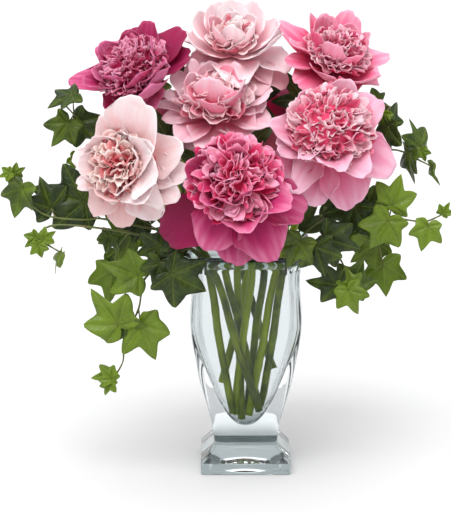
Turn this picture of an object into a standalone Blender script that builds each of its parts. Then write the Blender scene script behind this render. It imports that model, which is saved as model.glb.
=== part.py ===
"""Ten peonies and ten sprigs of ivy in a square vase of thick clear glass.

The origin is the middle of the vase foot's flat underside, +Z is up and -Y is the side that the
fullest blooms face. Design values are in millimetres and become metres when a mesh is made.

Each peony is four pieces that nest on one axis: the cut stem with the three-part leaves that
grew on it, the calyx at its top, the dish of broad guard petals and the crown of crowded inner
petals. Each ivy sprig grew as one piece: a vine, the leaf stalks and the lobed leaves. The vase
holds still water, cut round every stem.
"""

import math

import bmesh
import bpy
import numpy as np
from mathutils import Matrix, Vector

MM = 0.001
GAP = 0.3  # clearance between pieces that touch

# The vase is square with rounded corners: height, half width and corner radius, from the edge
# of the flat underside up the outside, then down the inside to the bottom of the cavity.
FOOT_HALF = 45.0
VASE_HEIGHT = 227.0
OUTSIDE = (
    (0.0, FOOT_HALF - 0.8, 2.2),
    (0.8, FOOT_HALF, 3.0),
    (11.6, FOOT_HALF, 3.0),
    (12.2, FOOT_HALF - 0.6, 2.8),
    (26.5, 32.2, 4.5),
    (31.0, 31.6, 5.0),
    (44.0, 32.7, 6.0),
    (70.0, 39.3, 7.0),
    (88.0, 44.1, 8.0),
    (117.0, 49.8, 9.0),
    (144.0, 54.4, 10.0),
    (158.0, 55.6, 10.0),
    (180.0, 54.4, 10.0),
    (200.0, 53.4, 10.0),
    (212.0, 53.9, 10.0),
    (219.0, 56.6, 10.0),
    (224.0, 61.0, 10.0),
    (226.2, 63.6, 10.0),
)
INSIDE = (
    (VASE_HEIGHT, 62.0, 9.5),
    (226.2, 59.8, 9.5),
    (222.0, 53.8, 9.5),
    (217.0, 49.6, 9.5),
    (208.0, 47.2, 9.5),
    (196.0, 46.8, 9.5),
    (178.0, 47.8, 9.5),
    (156.0, 48.9, 9.5),
    (142.0, 47.6, 9.5),
    (128.0, 44.8, 9.5),
    (109.0, 39.8, 9.0),
    (92.0, 33.6, 9.0),
    (76.0, 27.6, 9.0),
    (62.0, 21.0, 9.5),
    (52.0, 14.2, 9.0),
    (46.5, 7.6, 6.0),
    (44.8, 3.2, 2.8),
)
CORNER_POINTS = 4
WATER_LEVEL = 212.0

# Peony stems.
STEM_RADIUS = 4.0
STEM_SEGMENTS = 8
ROUND_SIDES = 2  # a curve's bevel resolution of 2 is eight sides
NECK = 9.0  # straight stretch under the calyx

# Bloom profile, measured along its axis from the heart, where its petals are attached.
PETAL_SIDES = 3  # sides of the dish to each guard petal
DISH_RINGS = (0.12, 0.4, 0.7, 1.0)  # radii of the rings over the dish's own
DISH_CURL = 1.7  # power of the rise from heart to rim
DISH_WALL = 2.6
DISH_EDGE = 1.4
DISH_SWING = 2.0  # rise and fall of the rim from petal to petal
DISH_SCALLOP = 0.06  # how far the rim swings out at each petal, over its radius
CROWN_LIFT = 0.6  # keeps the crown above the dish's flat facets
CROWN_SIDES = 12
CROWN_UNDERSIDE = (0.1, 0.38, 0.7)  # ring radii over the widest, resting on the dish
CROWN_LEVELS = (0.28, 0.52, 0.76, 0.93, 1.0)  # ring heights over the crown's height
CROWN_BELLY = 0.42  # level of the widest place
CROWN_TAPER = 0.6  # levels from the widest place to where the dome would close
CALYX_SIDES = 10
CALYX_SPREAD = 17.0
CALYX_LOBES = 5
CALYX_SCALLOP = 0.3  # how far the lobes stand out, over its radius
CALYX_DROOP = 2.0  # fall of the lobes away from the dish
CALYX_WALL = 1.8
CALYX_WAIST = 0.45  # radius of its middle ring over its spread
CALYX_BOSS = 3.0  # depth of the boss over the wall

# name: heart, the way it faces, guard radius, rise of the rim, crown radius, crown height,
# guard petals round the dish, where its stem passes the mouth, where its stem ends, colour.
BLOOMS = {
    "front": dict(
        heart=(-10, -76, 298), faces=(0.0, -0.86, 0.51), guard=60, rise=12, crown=(47, 50),
        petals=7, mouth=(6, -23, 216), foot=(-12, -1, 56), colour=(0.66, 0.08, 0.22),
    ),
    "left": dict(
        heart=(-114, -42, 314), faces=(-0.42, -0.88, 0.22), guard=52, rise=14, crown=(42, 50),
        petals=6, mouth=(-37, -27, 216), foot=(14, -15, 62), colour=(0.86, 0.62, 0.62),
    ),
    "right": dict(
        heart=(76, -36, 342), faces=(0.2, -0.82, 0.54), guard=51, rise=10, crown=(42, 54),
        petals=6, mouth=(39, -19, 216), foot=(16, 13, 62), colour=(0.8, 0.34, 0.45),
    ),
    "middle": dict(
        heart=(-29, 2, 357), faces=(-0.08, -0.5, 0.86), guard=48, rise=18, crown=(38, 46),
        petals=6, mouth=(-22, -11, 216), foot=(13, 4, 65), colour=(0.84, 0.42, 0.5),
    ),
    "top_left": dict(
        heart=(-104, 16, 388), faces=(-0.34, -0.56, 0.76), guard=55, rise=12, crown=(38, 46),
        petals=7, mouth=(-41, -6, 216), foot=(-13, -12, 59), colour=(0.56, 0.07, 0.2),
    ),
    "top": dict(
        heart=(-12, 40, 411), faces=(-0.02, -0.36, 0.93), guard=47, rise=28, crown=(31, 46),
        petals=6, mouth=(-9, 8, 216), foot=(-4, 3, 49), colour=(0.86, 0.5, 0.56),
    ),
    "top_right": dict(
        heart=(84, 32, 398), faces=(0.3, -0.42, 0.86), guard=48, rise=18, crown=(37, 46),
        petals=6, mouth=(33, 0, 216), foot=(3, -9, 56), colour=(0.76, 0.22, 0.36),
    ),
    "back_right": dict(
        heart=(66, 72, 330), faces=(0.5, 0.66, 0.56), guard=50, rise=16, crown=(39, 46),
        petals=6, mouth=(9, 32, 216), foot=(-24, 4, 88), colour=(0.54, 0.06, 0.2),
    ),
    "back_left": dict(
        heart=(-78, 72, 322), faces=(-0.5, 0.66, 0.56), guard=50, rise=16, crown=(39, 46),
        petals=6, mouth=(-12, 42, 216), foot=(28, 14, 101), colour=(0.8, 0.36, 0.46),
    ),
    "back": dict(
        heart=(-6, 92, 300), faces=(0.0, 0.92, 0.38), guard=52, rise=14, crown=(41, 48),
        petals=6, mouth=(18, 16, 216), foot=(1, 11, 54), colour=(0.84, 0.46, 0.52),
    ),
}

# Leaves. A leaf's outline is given by the angles from its midrib and the lengths over the
# midrib's, of its tips and of the notches between them. A leaf has the place of its base, the
# heading of its midrib in the XZ plane (0 is +X, 90 is up), how far its tip leans to -Y, its turn
# about its midrib, and its length.
LEAF_THICKNESS = 1.0
LEAF_SEAT = 0.14  # how far a stalk runs on under its leaf, over the leaf's length

# Peony leaves: three pointed leaflets on a stalk. Each leaf starts with the height at which its
# stalk leaves the stem.
PEONY_STALK_RADIUS = 1.2
PEONY_OUTLINE = (
    (0, 1.0), (13, 0.7), (24, 0.36), (34, 0.62), (47, 0.84), (60, 0.54), (88, 0.18), (180, 0.08),
)
STEM_LEAVES = {
    "front": (
        (252, (0, -36, 250), 200, 10, 0, 40),
        (262, (-16, -44, 262), 185, 0, 0, 46),
        (268, (4, -46, 262), 350, 0, 0, 42),
    ),
    "left": (
        (262, (-84, -20, 276), 196, 4, 0, 32),
    ),
    "right": (
        (236, (51, -6, 244), 62, -6, 0, 48),
        (276, (70, -12, 282), 15, -10, 0, 40),
    ),
    "middle": (
        (300, (-10, 4, 318), 35, -6, 0, 50),
        (296, (-34, -8, 304), 150, 0, 0, 44),
    ),
    "top_left": (
        (322, (-78, 14, 330), 68, -6, 0, 46),
        (262, (-60, 8, 262), 110, -30, -80, 40),
    ),
    "top": (
        (366, (-28, 41, 380), 156, 0, 0, 46),
        (354, (-2, 41, 362), 24, 0, 0, 46),
        (320, (-20, 34, 326), 215, -20, 0, 44),
    ),
    "top_right": (
        (366, (60, 35, 366), 130, 0, 0, 42),
        (300, (62, 22, 306), 40, -10, 0, 42),
        (262, (52, 12, 262), 80, -30, 80, 40),
    ),
    "back_right": (
        (262, (34, 50, 266), 330, -30, 180, 46),
        (290, (60, 50, 300), 20, -20, 180, 36),
    ),
    "back_left": (
        (262, (-44, 54, 262), 210, -30, 180, 46),
        (286, (-64, 54, 293), 160, -20, 180, 36),
    ),
    "back": (
        (262, (10, 56, 254), 280, -40, 180, 44),
        (258, (0, 54, 262), 200, -20, 180, 36),
    ),
}

# Ivy: the vine's route, then its leaves, each with the number of the route point that its stalk
# leaves from.
VINE_RADIUS = 1.3
STALK_RADIUS = 0.8
STALK_OVERLAP = 0.5  # how far a stalk starts inside the vine, over its radius
IVY_OUTLINE = (
    (0, 1.0), (24, 0.56), (52, 0.84), (84, 0.46), (112, 0.56), (146, 0.34), (180, 0.1),
)

SPRIGS = {
    "ivy_left_upper": dict(
        vine=((-40, 6, 206), (-42, 8, 222), (-66, 14, 246), (-108, 12, 288), (-146, 8, 330),
              (-170, 0, 358), (-184, -4, 374)),
        leaves=(
            (5, (-171, 2, 377), 196, 10, 62, 28),
            (5, (-176, -6, 351), 236, 10, 0, 29),
            (4, (-168, 4, 350), 318, 0, 10, 34),
            (3, (-172, 2, 314), 330, 0, 0, 15),
        ),
    ),
    "ivy_left_middle": dict(
        vine=((-45, -13, 206), (-47, -14, 224), (-72, -14, 240), (-118, -12, 250),
              (-144, -15, 256), (-160, -20, 256), (-188, -20, 258), (-204, -20, 264),
              (-220, -18, 280), (-232, -16, 300)),
        leaves=(
            (4, (-160, -13, 273), 169, 0, 0, 53),
            (8, (-221, -20, 288), 252, 0, 30, 32),
            (9, (-230, -14, 302), 20, 0, 20, 14),
            (9, (-233, -18, 303), 200, 0, 20, 12),
            (3, (-134, -10, 238), 250, 0, 20, 21),
            (6, (-193, -14, 266), 108, 0, 10, 34),
            (2, (-104, -4, 252), 196, 0, 10, 28),
        ),
    ),
    "ivy_left_twig": dict(
        vine=((-45, -22, 206), (-47, -23, 223), (-74, -27, 235), (-128, -25, 246),
              (-182, -25, 252), (-201, -28, 247), (-203, -31, 238), (-193, -30, 231),
              (-184, -28, 225)),
        leaves=(
            (5, (-207, -31, 241), 222, 10, 0, 15),
            (6, (-200, -34, 240), 30, 10, 0, 15),
            (6, (-205, -34, 234), 285, 10, 0, 15),
            (8, (-183, -30, 223), 236, 0, 70, 20),
        ),
    ),
    "ivy_left_trail": dict(
        vine=((-45, -33, 206), (-47, -34, 222), (-62, -38, 232), (-80, -42, 224),
              (-93, -44, 209), (-101, -46, 200), (-103, -47, 190), (-106, -47, 172),
              (-115, -47, 152), (-121, -47, 134), (-122, -47, 118), (-131, -47, 101)),
        leaves=(
            (5, (-106, -51, 207), 161, 6, 0, 38),
            (8, (-126, -54, 157), 127, 4, 0, 42),
            (8, (-120, -51, 160), 300, 0, 10, 28),
            (7, (-104, -51, 157), 291, 4, 0, 40),
            (11, (-133, -49, 101), 135, 10, 0, 17),
            (11, (-134, -46, 104), 182, 10, 30, 19),
            (11, (-135, -49, 97), 250, 10, 0, 14),
        ),
    ),
    "ivy_left_rim": dict(
        vine=((-40, -41, 206), (-41, -42, 220), (-52, -54, 234), (-66, -62, 232),
              (-72, -66, 225)),
        leaves=(
            (3, (-84, -56, 238), 200, 0, 20, 28),
            (4, (-73, -70, 213), 327, -4, 0, 44),
            (4, (-84, -62, 222), 250, 0, 10, 26),
            (2, (-62, -56, 246), 160, 10, 10, 30),
        ),
    ),
    "ivy_right_upper": dict(
        vine=((45, 11, 206), (47, 12, 222), (62, 16, 250), (96, 12, 292), (124, 2, 318),
              (149, -4, 323), (168, -8, 315), (183, -10, 308)),
        leaves=(
            (5, (161, -10, 322), 268, 0, 70, 33),
            (6, (171, -4, 327), 100, 0, 50, 29),
            (6, (173, -10, 324), 290, 0, 0, 13),
            (7, (185, -10, 308), 275, 0, 76, 20),
        ),
    ),
    "ivy_right_top": dict(
        vine=((43, 22, 206), (44, 24, 222), (58, 32, 254), (98, 34, 300), (130, 22, 334),
              (142, 8, 352), (142, 0, 366)),
        leaves=(
            (6, (130, -2, 371), 165, 20, 0, 20),
            (6, (136, -8, 360), 250, 0, 30, 18),
            (5, (143, 0, 350), 112, 0, 40, 27),
            (5, (140, -15, 349), 268, 0, 58, 33),
        ),
    ),
    "ivy_right_middle": dict(
        vine=((45, -5, 206), (47, -6, 224), (66, -12, 248), (88, -20, 263), (104, -25, 265),
              (122, -28, 263), (141, -30, 261), (165, -30, 257), (177, -28, 256),
              (189, -25, 260), (194, -25, 263)),
        leaves=(
            (6, (143, -35, 274), 74, 8, 0, 33),
            (6, (139, -40, 260), 240, 8, 0, 36),
            (8, (179, -32, 252), 256, 10, 0, 26),
            (10, (194, -26, 264), 60, 20, 0, 13),
            (4, (107, -31, 272), 248, 0, 20, 40),
            (5, (121, -16, 272), 120, 0, 10, 24),
        ),
    ),
    "ivy_right_trail": dict(
        vine=((45, -29, 206), (46, -30, 222), (62, -33, 233), (76, -36, 234), (90, -40, 224),
              (98, -43, 210), (101, -44, 196)),
        leaves=(
            (6, (103, -40, 192), 66, 4, 0, 33),
            (5, (104, -50, 195), 108, 0, 10, 21),
            (6, (100, -54, 193), 292, 8, 0, 27),
            (4, (89, -50, 198), 178, 0, 0, 30),
        ),
    ),
    "ivy_right_rim": dict(
        vine=((39, -41, 206), (40, -42, 220), (46, -54, 238), (60, -60, 243)),
        leaves=(
            (3, (78, -58, 246), 338, 0, 0, 37),
            (2, (52, -70, 245), 245, 6, 0, 30),
            (3, (68, -68, 240), 285, 0, 10, 34),
        ),
    ),
    "ivy_back_left": dict(
        vine=((-41, 42, 206), (-43, 43, 222), (-58, 58, 236), (-84, 74, 238), (-112, 82, 226),
              (-130, 86, 206), (-136, 88, 182)),
        leaves=(
            (3, (-84, 82, 250), 160, 0, 180, 38),
            (4, (-116, 88, 222), 200, 0, 180, 40),
            (5, (-132, 92, 200), 330, 0, 180, 34),
            (6, (-138, 92, 178), 262, 0, 180, 36),
        ),
    ),
    "ivy_back_right": dict(
        vine=((41, 42, 206), (43, 43, 222), (56, 58, 236), (80, 76, 240), (110, 84, 232),
              (134, 84, 214), (142, 84, 190)),
        leaves=(
            (3, (82, 84, 250), 30, 0, 180, 38),
            (4, (112, 90, 228), 330, 0, 180, 42),
            (5, (136, 90, 208), 215, 0, 180, 34),
            (6, (143, 90, 186), 275, 0, 180, 36),
        ),
    ),
}


def clear_scene():
    for obj in list(bpy.data.objects):
        bpy.data.objects.remove(obj, do_unlink=True)


def new_collection(name, parent=None):
    collection = bpy.data.collections.new(name)
    (parent or bpy.context.scene.collection).children.link(collection)
    return collection


def new_material(name, colour, roughness, alpha=1.0):
    material = bpy.data.materials.new(name)
    material.use_nodes = True
    shader = material.node_tree.nodes["Principled BSDF"]
    shader.inputs["Base Color"].default_value = (*colour, 1.0)
    shader.inputs["Roughness"].default_value = roughness
    shader.inputs["Metallic"].default_value = 0.0
    shader.inputs["Alpha"].default_value = alpha
    return material


def add_object(name, mesh, collection, material=None):
    obj = bpy.data.objects.new(name, mesh)
    collection.objects.link(obj)
    if material:
        mesh.materials.append(material)
    return obj


def loft(name, rings):
    """A closed mesh through rings of equally many points, in millimetres, flat at both ends."""
    count = len(rings[0])
    points = [tuple(Vector(point) * MM) for ring in rings for point in ring]
    faces = [tuple(reversed(range(count)))]
    for start in range(0, count * (len(rings) - 1), count):
        for i in range(count):
            j = (i + 1) % count
            faces.append((start + i, start + j, start + count + j, start + count + i))
    faces.append(tuple(range(count * (len(rings) - 1), count * len(rings))))
    mesh = bpy.data.meshes.new(name)
    mesh.from_pydata(points, [], faces)
    mesh.validate()
    mesh.shade_smooth()
    mesh.set_sharp_from_angle(angle=math.radians(40))
    return mesh


def square_ring(height, half, corner):
    """Points counter-clockwise round a square with rounded corners."""
    ring = []
    for quarter in range(4):
        for step in range(CORNER_POINTS):
            angle = math.radians(90 * (quarter + step / (CORNER_POINTS - 1)))
            middle = math.radians(90 * quarter + 45)
            centre = (half - corner) * math.sqrt(2)
            ring.append((
                centre * math.cos(middle) + corner * math.cos(angle),
                centre * math.sin(middle) + corner * math.sin(angle),
                height,
            ))
    return ring


def make_vase(collection):
    rings = [square_ring(*level) for level in OUTSIDE + INSIDE]
    glass = new_material("clear_glass", (0.88, 0.93, 0.94), 0.03, 0.35)
    return add_object("vase", loft("vase", rings), collection, glass)


def water_rings(top):
    """The cavity's own rings from its bottom up to a level, drawn in from the glass."""
    rings = []
    for height, half, corner in reversed(INSIDE):
        if height < top - GAP:
            rings.append(square_ring(height + GAP, half - GAP, corner - GAP))
            below = (height, half, corner)
        else:
            share = (top - below[0]) / (height - below[0])
            half = below[1] + share * (half - below[1])
            rings.append(square_ring(top, half - GAP, corner - GAP))
            break
    return rings


def make_water(collection, cutters):
    clear = new_material("water", (0.86, 0.93, 0.92), 0.02, 0.2)
    water = add_object("water", loft("water", water_rings(WATER_LEVEL)), collection, clear)
    for number, cutter in enumerate(cutters):
        cut = water.modifiers.new(f"round_stem_{number}", "BOOLEAN")
        cut.operation = "DIFFERENCE"
        cut.solver = "EXACT"
        cut.object = cutter
    return water


def smooth_route(points, segments):
    """Points at even steps of a Catmull-Rom curve through the given points."""
    knots = [Vector(point) for point in points]
    knots = [2 * knots[0] - knots[1], *knots, 2 * knots[-1] - knots[-2]]
    spans = len(knots) - 3
    route = []
    for i in range(segments + 1):
        at = min(i * spans / segments, spans - 1e-9)
        k = int(at)
        t = at - k
        a, b, c, d = knots[k:k + 4]
        route.append(0.5 * (
            2 * b + (c - a) * t + (2 * a - 5 * b + 4 * c - d) * t**2
            + (3 * b - a - 3 * c + d) * t**3
        ))
    return route


def tube(name, route, radius, collection, material=None, sides=ROUND_SIDES):
    """A round rod along a route in millimetres, as a closed mesh."""
    curve = bpy.data.curves.new(name, "CURVE")
    curve.dimensions = "3D"
    curve.bevel_depth = radius * MM
    curve.bevel_resolution = sides
    curve.use_fill_caps = True
    spline = curve.splines.new("POLY")
    spline.points.add(len(route) - 1)
    for point, place in zip(spline.points, route):
        point.co = (*(Vector(place) * MM), 1.0)
    rod = bpy.data.objects.new(name, curve)
    collection.objects.link(rod)
    bpy.context.view_layer.update()
    evaluated = rod.evaluated_get(bpy.context.evaluated_depsgraph_get())
    mesh = bpy.data.meshes.new_from_object(evaluated)
    bpy.data.objects.remove(rod, do_unlink=True)
    shape = bmesh.new()
    shape.from_mesh(mesh)
    bmesh.ops.remove_doubles(shape, verts=shape.verts, dist=1e-6)
    shape.to_mesh(mesh)
    shape.free()
    mesh.name = name
    mesh.shade_smooth()
    mesh.set_sharp_from_angle(angle=math.radians(50))
    return add_object(name, mesh, collection, material)


def bloom_frame(bloom):
    """The matrix that takes a bloom's own axes, in millimetres, to the vase's."""
    axis = Vector(bloom["faces"]).normalized()
    turn = axis.to_track_quat("Z", "Y").to_matrix().to_4x4()
    return Matrix.Translation(Vector(bloom["heart"])) @ turn


def dish_height(bloom, radius):
    return bloom["rise"] * (radius / bloom["guard"]) ** DISH_CURL


def dish_ring(bloom, share, drop):
    """A ring of the dish, whose rim swings in and out once a guard petal."""
    ring = []
    sides = PETAL_SIDES * bloom["petals"]
    for i in range(sides):
        angle = math.tau * i / sides
        swing = math.cos(bloom["petals"] * angle)
        radius = bloom["guard"] * share * (1 + DISH_SCALLOP * share * swing)
        height = dish_height(bloom, bloom["guard"] * share) + DISH_SWING * share**3 * swing
        ring.append((radius * math.cos(angle), radius * math.sin(angle), height - drop))
    return ring


def dish_rings(bloom):
    """The dish's underside from its middle out to the rim, then its inside back again."""
    rings = []
    for share in DISH_RINGS:
        wall = DISH_WALL + (DISH_EDGE - DISH_WALL) * share
        rings.append(dish_ring(bloom, share, wall))
    for share in reversed(DISH_RINGS):
        rings.append(dish_ring(bloom, share, 0.0))
    return rings


def crown_rings(bloom):
    """A ball of petals whose lower side follows the dish and whose top is a low dome."""
    widest, top = bloom["crown"]
    levels = [(share * widest, 0.0) for share in CROWN_UNDERSIDE]
    for share in CROWN_LEVELS:
        swell = math.sqrt(1 - ((share - CROWN_BELLY) / CROWN_TAPER) ** 2)
        levels.append((widest * swell, top * share))
    rings = []
    for radius, height in levels:
        clear = dish_height(bloom, radius) + CROWN_LIFT + GAP
        rings.append([
            (radius * math.cos(math.tau * i / CROWN_SIDES),
             radius * math.sin(math.tau * i / CROWN_SIDES), max(height, clear))
            for i in range(CROWN_SIDES)
        ])
    return rings


def calyx_rings(bloom):
    """A little five-lobed dish that the guard petals sit on, with a boss for the stem."""
    def ring(share, drop):
        points = []
        for i in range(CALYX_SIDES):
            angle = math.tau * i / CALYX_SIDES
            lobe = 1 + CALYX_SCALLOP * share**2 * math.cos(CALYX_LOBES * angle)
            radius = CALYX_SPREAD * share * lobe
            height = dish_height(bloom, radius) - DISH_WALL - GAP - CALYX_DROOP * share**2
            points.append((radius * math.cos(angle), radius * math.sin(angle), height - drop))
        return points

    boss = STEM_RADIUS / CALYX_SPREAD
    return [
        ring(boss, CALYX_BOSS * CALYX_WALL),
        ring(CALYX_WAIST, 1.5 * CALYX_WALL),
        ring(1.0, 0.5 * CALYX_WALL),
        ring(1.0, 0.0),
        ring(CALYX_WAIST, 0.0),
        ring(boss, 0.0),
    ]


def place(mesh, matrix):
    """Moves a mesh made in millimetres and stored in metres by a matrix in millimetres."""
    to_metres = Matrix.Scale(MM, 4)
    mesh.transform(to_metres @ matrix @ to_metres.inverted())


def stem_route(bloom):
    """From the cut end in the vase, past the mouth, to the calyx along the bloom's axis."""
    frame = bloom_frame(bloom)
    calyx_foot = min(point[2] for point in calyx_rings(bloom)[0]) - GAP
    top = frame @ Vector((0, 0, calyx_foot))
    neck = frame @ Vector((0, 0, calyx_foot - NECK))
    mouth, foot = Vector(bloom["mouth"]), Vector(bloom["foot"])
    return smooth_route([foot, foot.lerp(mouth, 0.5), mouth, neck], STEM_SEGMENTS) + [top]


def make_peony(name, bloom, collection, cutters):
    """The four pieces of one peony, and the cutter that clears its stem's way in the water."""
    frame = bloom_frame(bloom)
    petal = new_material(f"{name}_petal", bloom["colour"], 0.55)
    inner = new_material(f"{name}_inner_petal", bloom["colour"], 0.6)
    for part, rings, material in (
        ("guard_petals", dish_rings(bloom), petal),
        ("crown", crown_rings(bloom), inner),
        ("calyx", calyx_rings(bloom), new_material(f"{name}_calyx", (0.2, 0.34, 0.08), 0.5)),
    ):
        mesh = loft(f"{name}_{part}", rings)
        place(mesh, frame)
        add_object(f"{name}_{part}", mesh, collection, material)
    route = stem_route(bloom)
    green = new_material(f"{name}_stem", (0.2, 0.32, 0.06), 0.45)
    stem = tube(f"{name}_stem", route, STEM_RADIUS, collection, green)
    growth = new_collection(f"{name}_growth", cutters)
    for number, (height, *leaf) in enumerate(STEM_LEAVES[name]):
        start = at_height(route, height)
        leaf_and_stalk(f"{name}_leaf_{number}", PEONY_OUTLINE, leaf, start, PEONY_STALK_RADIUS,
                       growth)
    grow_together(stem, growth)
    below = route[0] + (route[0] - route[1]).normalized() * GAP
    return tube(f"{name}_clearance", [below, *route[1:]], STEM_RADIUS + GAP, cutters)


def at_height(route, height):
    """The point of a rising route at a height."""
    for low, high in zip(route, route[1:]):
        if low.z <= height <= high.z:
            return low.lerp(high, (height - low.z) / (high.z - low.z))
    raise ValueError(f"the route doesn't pass {height} mm")


def leaf_outline(outline, length):
    """Round a leaf from its tip, with the base of its midrib at the origin."""
    half = [(math.radians(angle), reach * length) for angle, reach in outline]
    points = [(reach * math.cos(angle), reach * math.sin(angle)) for angle, reach in half]
    return points + [(x, -y) for x, y in reversed(points[1:-1])]


def leaf_matrix(base, heading, lean, turn):
    """Midrib along +X and upper face to +Z, turned to its heading with the face to -Y."""
    spin = Matrix.Rotation(math.radians(-heading), 4, "Y")
    tip = Matrix.Rotation(math.radians(-lean), 4, "Z")
    face = Matrix.Rotation(math.radians(90 + turn), 4, "X")
    return Matrix.Translation(Vector(base)) @ spin @ tip @ face


def leaf_plate(name, outline, matrix, collection):
    """A flat leaf as a thin plate, placed by a matrix."""
    curve = bpy.data.curves.new(name, "CURVE")
    curve.dimensions = "2D"
    curve.fill_mode = "BOTH"
    curve.extrude = 0.5 * LEAF_THICKNESS * MM
    spline = curve.splines.new("POLY")
    spline.use_cyclic_u = True
    spline.points.add(len(outline) - 1)
    for point, (x, y) in zip(spline.points, outline):
        point.co = (x * MM, y * MM, 0.0, 1.0)
    flat = bpy.data.objects.new(name, curve)
    collection.objects.link(flat)
    bpy.context.view_layer.update()
    evaluated = flat.evaluated_get(bpy.context.evaluated_depsgraph_get())
    mesh = bpy.data.meshes.new_from_object(evaluated)
    bpy.data.objects.remove(flat, do_unlink=True)
    shape = bmesh.new()
    shape.from_mesh(mesh)
    bmesh.ops.remove_doubles(shape, verts=shape.verts, dist=1e-6)
    bmesh.ops.recalc_face_normals(shape, faces=shape.faces)
    shape.to_mesh(mesh)
    shape.free()
    place(mesh, matrix)
    return add_object(name, mesh, collection)


def leaf_and_stalk(name, outline, leaf, start, radius, growth):
    """A leaf's plate, and its stalk from a start in the wood to a seat under the plate."""
    base, heading, lean, turn, length = leaf
    matrix = leaf_matrix(base, heading, lean, turn)
    leaf_plate(name, leaf_outline(outline, length), matrix, growth)
    seat = matrix @ Vector((LEAF_SEAT * length, 0, 0))
    tube(f"{name}_stalk", [start, Vector(base), seat], radius, growth, sides=0)


def grow_together(wood, growth):
    """Joins a stem or a vine with the leaves and stalks in a collection."""
    union = wood.modifiers.new("grown_together", "BOOLEAN")
    union.operation = "UNION"
    union.solver = "EXACT"
    union.operand_type = "COLLECTION"
    union.collection = growth


def make_sprig(name, sprig, collection, cutters):
    """A vine joined with its leaves and their stalks, and the cutter that clears it in water."""
    route = smooth_route(sprig["vine"], len(sprig["vine"]) + 1)
    green = new_material(name, (0.11, 0.24, 0.03), 0.4)
    vine = tube(name, route, VINE_RADIUS, collection, green, sides=1)
    growth = new_collection(f"{name}_growth", cutters)
    for number, (node, *leaf) in enumerate(sprig["leaves"]):
        node_place = Vector(sprig["vine"][node])
        away = (Vector(leaf[0]) - node_place).normalized()
        start = node_place - away * STALK_OVERLAP * STALK_RADIUS
        leaf_and_stalk(f"{name}_leaf_{number}", IVY_OUTLINE, leaf, start, STALK_RADIUS, growth)
    grow_together(vine, growth)
    below = route[0] + (route[0] - route[1]).normalized() * GAP
    return tube(f"{name}_clearance", [below, *route[1:]], VINE_RADIUS + GAP, cutters, sides=1)


def main():
    clear_scene()
    pieces = new_collection("peonies_in_a_vase")
    cutters = new_collection("cutters")
    make_vase(pieces)
    stems = [make_peony(name, bloom, pieces, cutters) for name, bloom in BLOOMS.items()]
    vines = [make_sprig(name, sprig, pieces, cutters) for name, sprig in SPRIGS.items()]
    make_water(pieces, stems + vines)
    for cutter in cutters.all_objects:
        cutter.hide_render = True
        cutter.display_type = "WIRE"


main()
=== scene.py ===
"""Peonies and trailing ivy in a square vase of thick clear glass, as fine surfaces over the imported
part: every petal, leaf, stem and vine, the glass and the water, and a plain studio round them.

Shapes are worked out in millimetres and go into their meshes in metres.
"""
import math

import bpy
import numpy as np
from bpy.props import FloatProperty, FloatVectorProperty, IntProperty, PointerProperty
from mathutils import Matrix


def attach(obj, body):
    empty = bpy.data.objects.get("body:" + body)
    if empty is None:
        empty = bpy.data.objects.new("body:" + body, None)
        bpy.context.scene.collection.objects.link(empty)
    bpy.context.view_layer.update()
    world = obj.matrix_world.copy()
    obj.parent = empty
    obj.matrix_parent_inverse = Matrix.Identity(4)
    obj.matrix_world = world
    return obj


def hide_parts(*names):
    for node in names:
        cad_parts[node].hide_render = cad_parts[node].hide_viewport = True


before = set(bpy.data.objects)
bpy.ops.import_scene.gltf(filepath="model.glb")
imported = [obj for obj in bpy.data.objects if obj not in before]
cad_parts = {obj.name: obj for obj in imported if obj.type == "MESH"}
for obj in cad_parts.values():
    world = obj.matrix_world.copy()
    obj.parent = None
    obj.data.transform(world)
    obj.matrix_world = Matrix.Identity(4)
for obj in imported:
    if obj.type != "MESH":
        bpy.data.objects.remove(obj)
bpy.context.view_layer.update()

bl_info = {
    "name": "Peonies in a Vase",
    "version": (1, 0, 0),
    "blender": (4, 5, 0),
    "location": "View3D > Sidebar > Peonies",
    "description": "Makes a bouquet of peonies and ivy in a glass vase, piece by piece",
    "category": "Add Mesh",
}

MM = 0.001
AXIS = np.array([0.0, 0.0, 1.0])
GOLDEN_ANGLE = math.pi * (3 - math.sqrt(5))
BODY = "root"

# The vase's profile: height, half width and corner radius. It runs from the middle of the
# underside up the outside, over the lip and down to the bottom of the cavity, in stretches that
# meet at an edge.
FOOT_SIDE = ((0.0, 44.0, 2.0), (0.3, 44.6, 2.4), (1.0, 45.0, 3.0), (10.8, 45.0, 3.0))
FOOT_EDGE = ((10.8, 45.0, 3.0), (11.5, 44.8, 3.0), (12.0, 44.3, 3.0))
SHOULDER = (
    (12.0, 44.3, 3.0), (19.2, 38.4, 3.8), (25.6, 33.0, 4.4), (27.2, 32.1, 4.6), (31.0, 31.6, 5.0),
)
BODY_SIDE = (
    (31.0, 31.6, 5.0), (44.0, 32.9, 6.0), (57.0, 35.7, 6.5), (70.0, 39.3, 7.0), (88.0, 44.1, 8.0),
    (102.0, 47.2, 8.5), (117.0, 49.9, 9.0), (130.0, 52.4, 9.5), (144.0, 54.5, 10.0),
    (158.0, 55.6, 10.0), (170.0, 55.2, 10.0), (182.0, 54.2, 10.0), (192.0, 53.5, 10.0),
    (202.0, 53.3, 10.0), (211.0, 53.8, 10.0), (218.5, 56.3, 10.0), (223.6, 60.6, 10.0),
    (225.8, 63.0, 10.0),
)
LIP = (
    (225.8, 63.0, 10.0), (226.6, 63.3, 9.9), (227.0, 62.4, 9.7), (226.8, 61.2, 9.6),
    (226.0, 59.8, 9.5),
)
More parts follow.
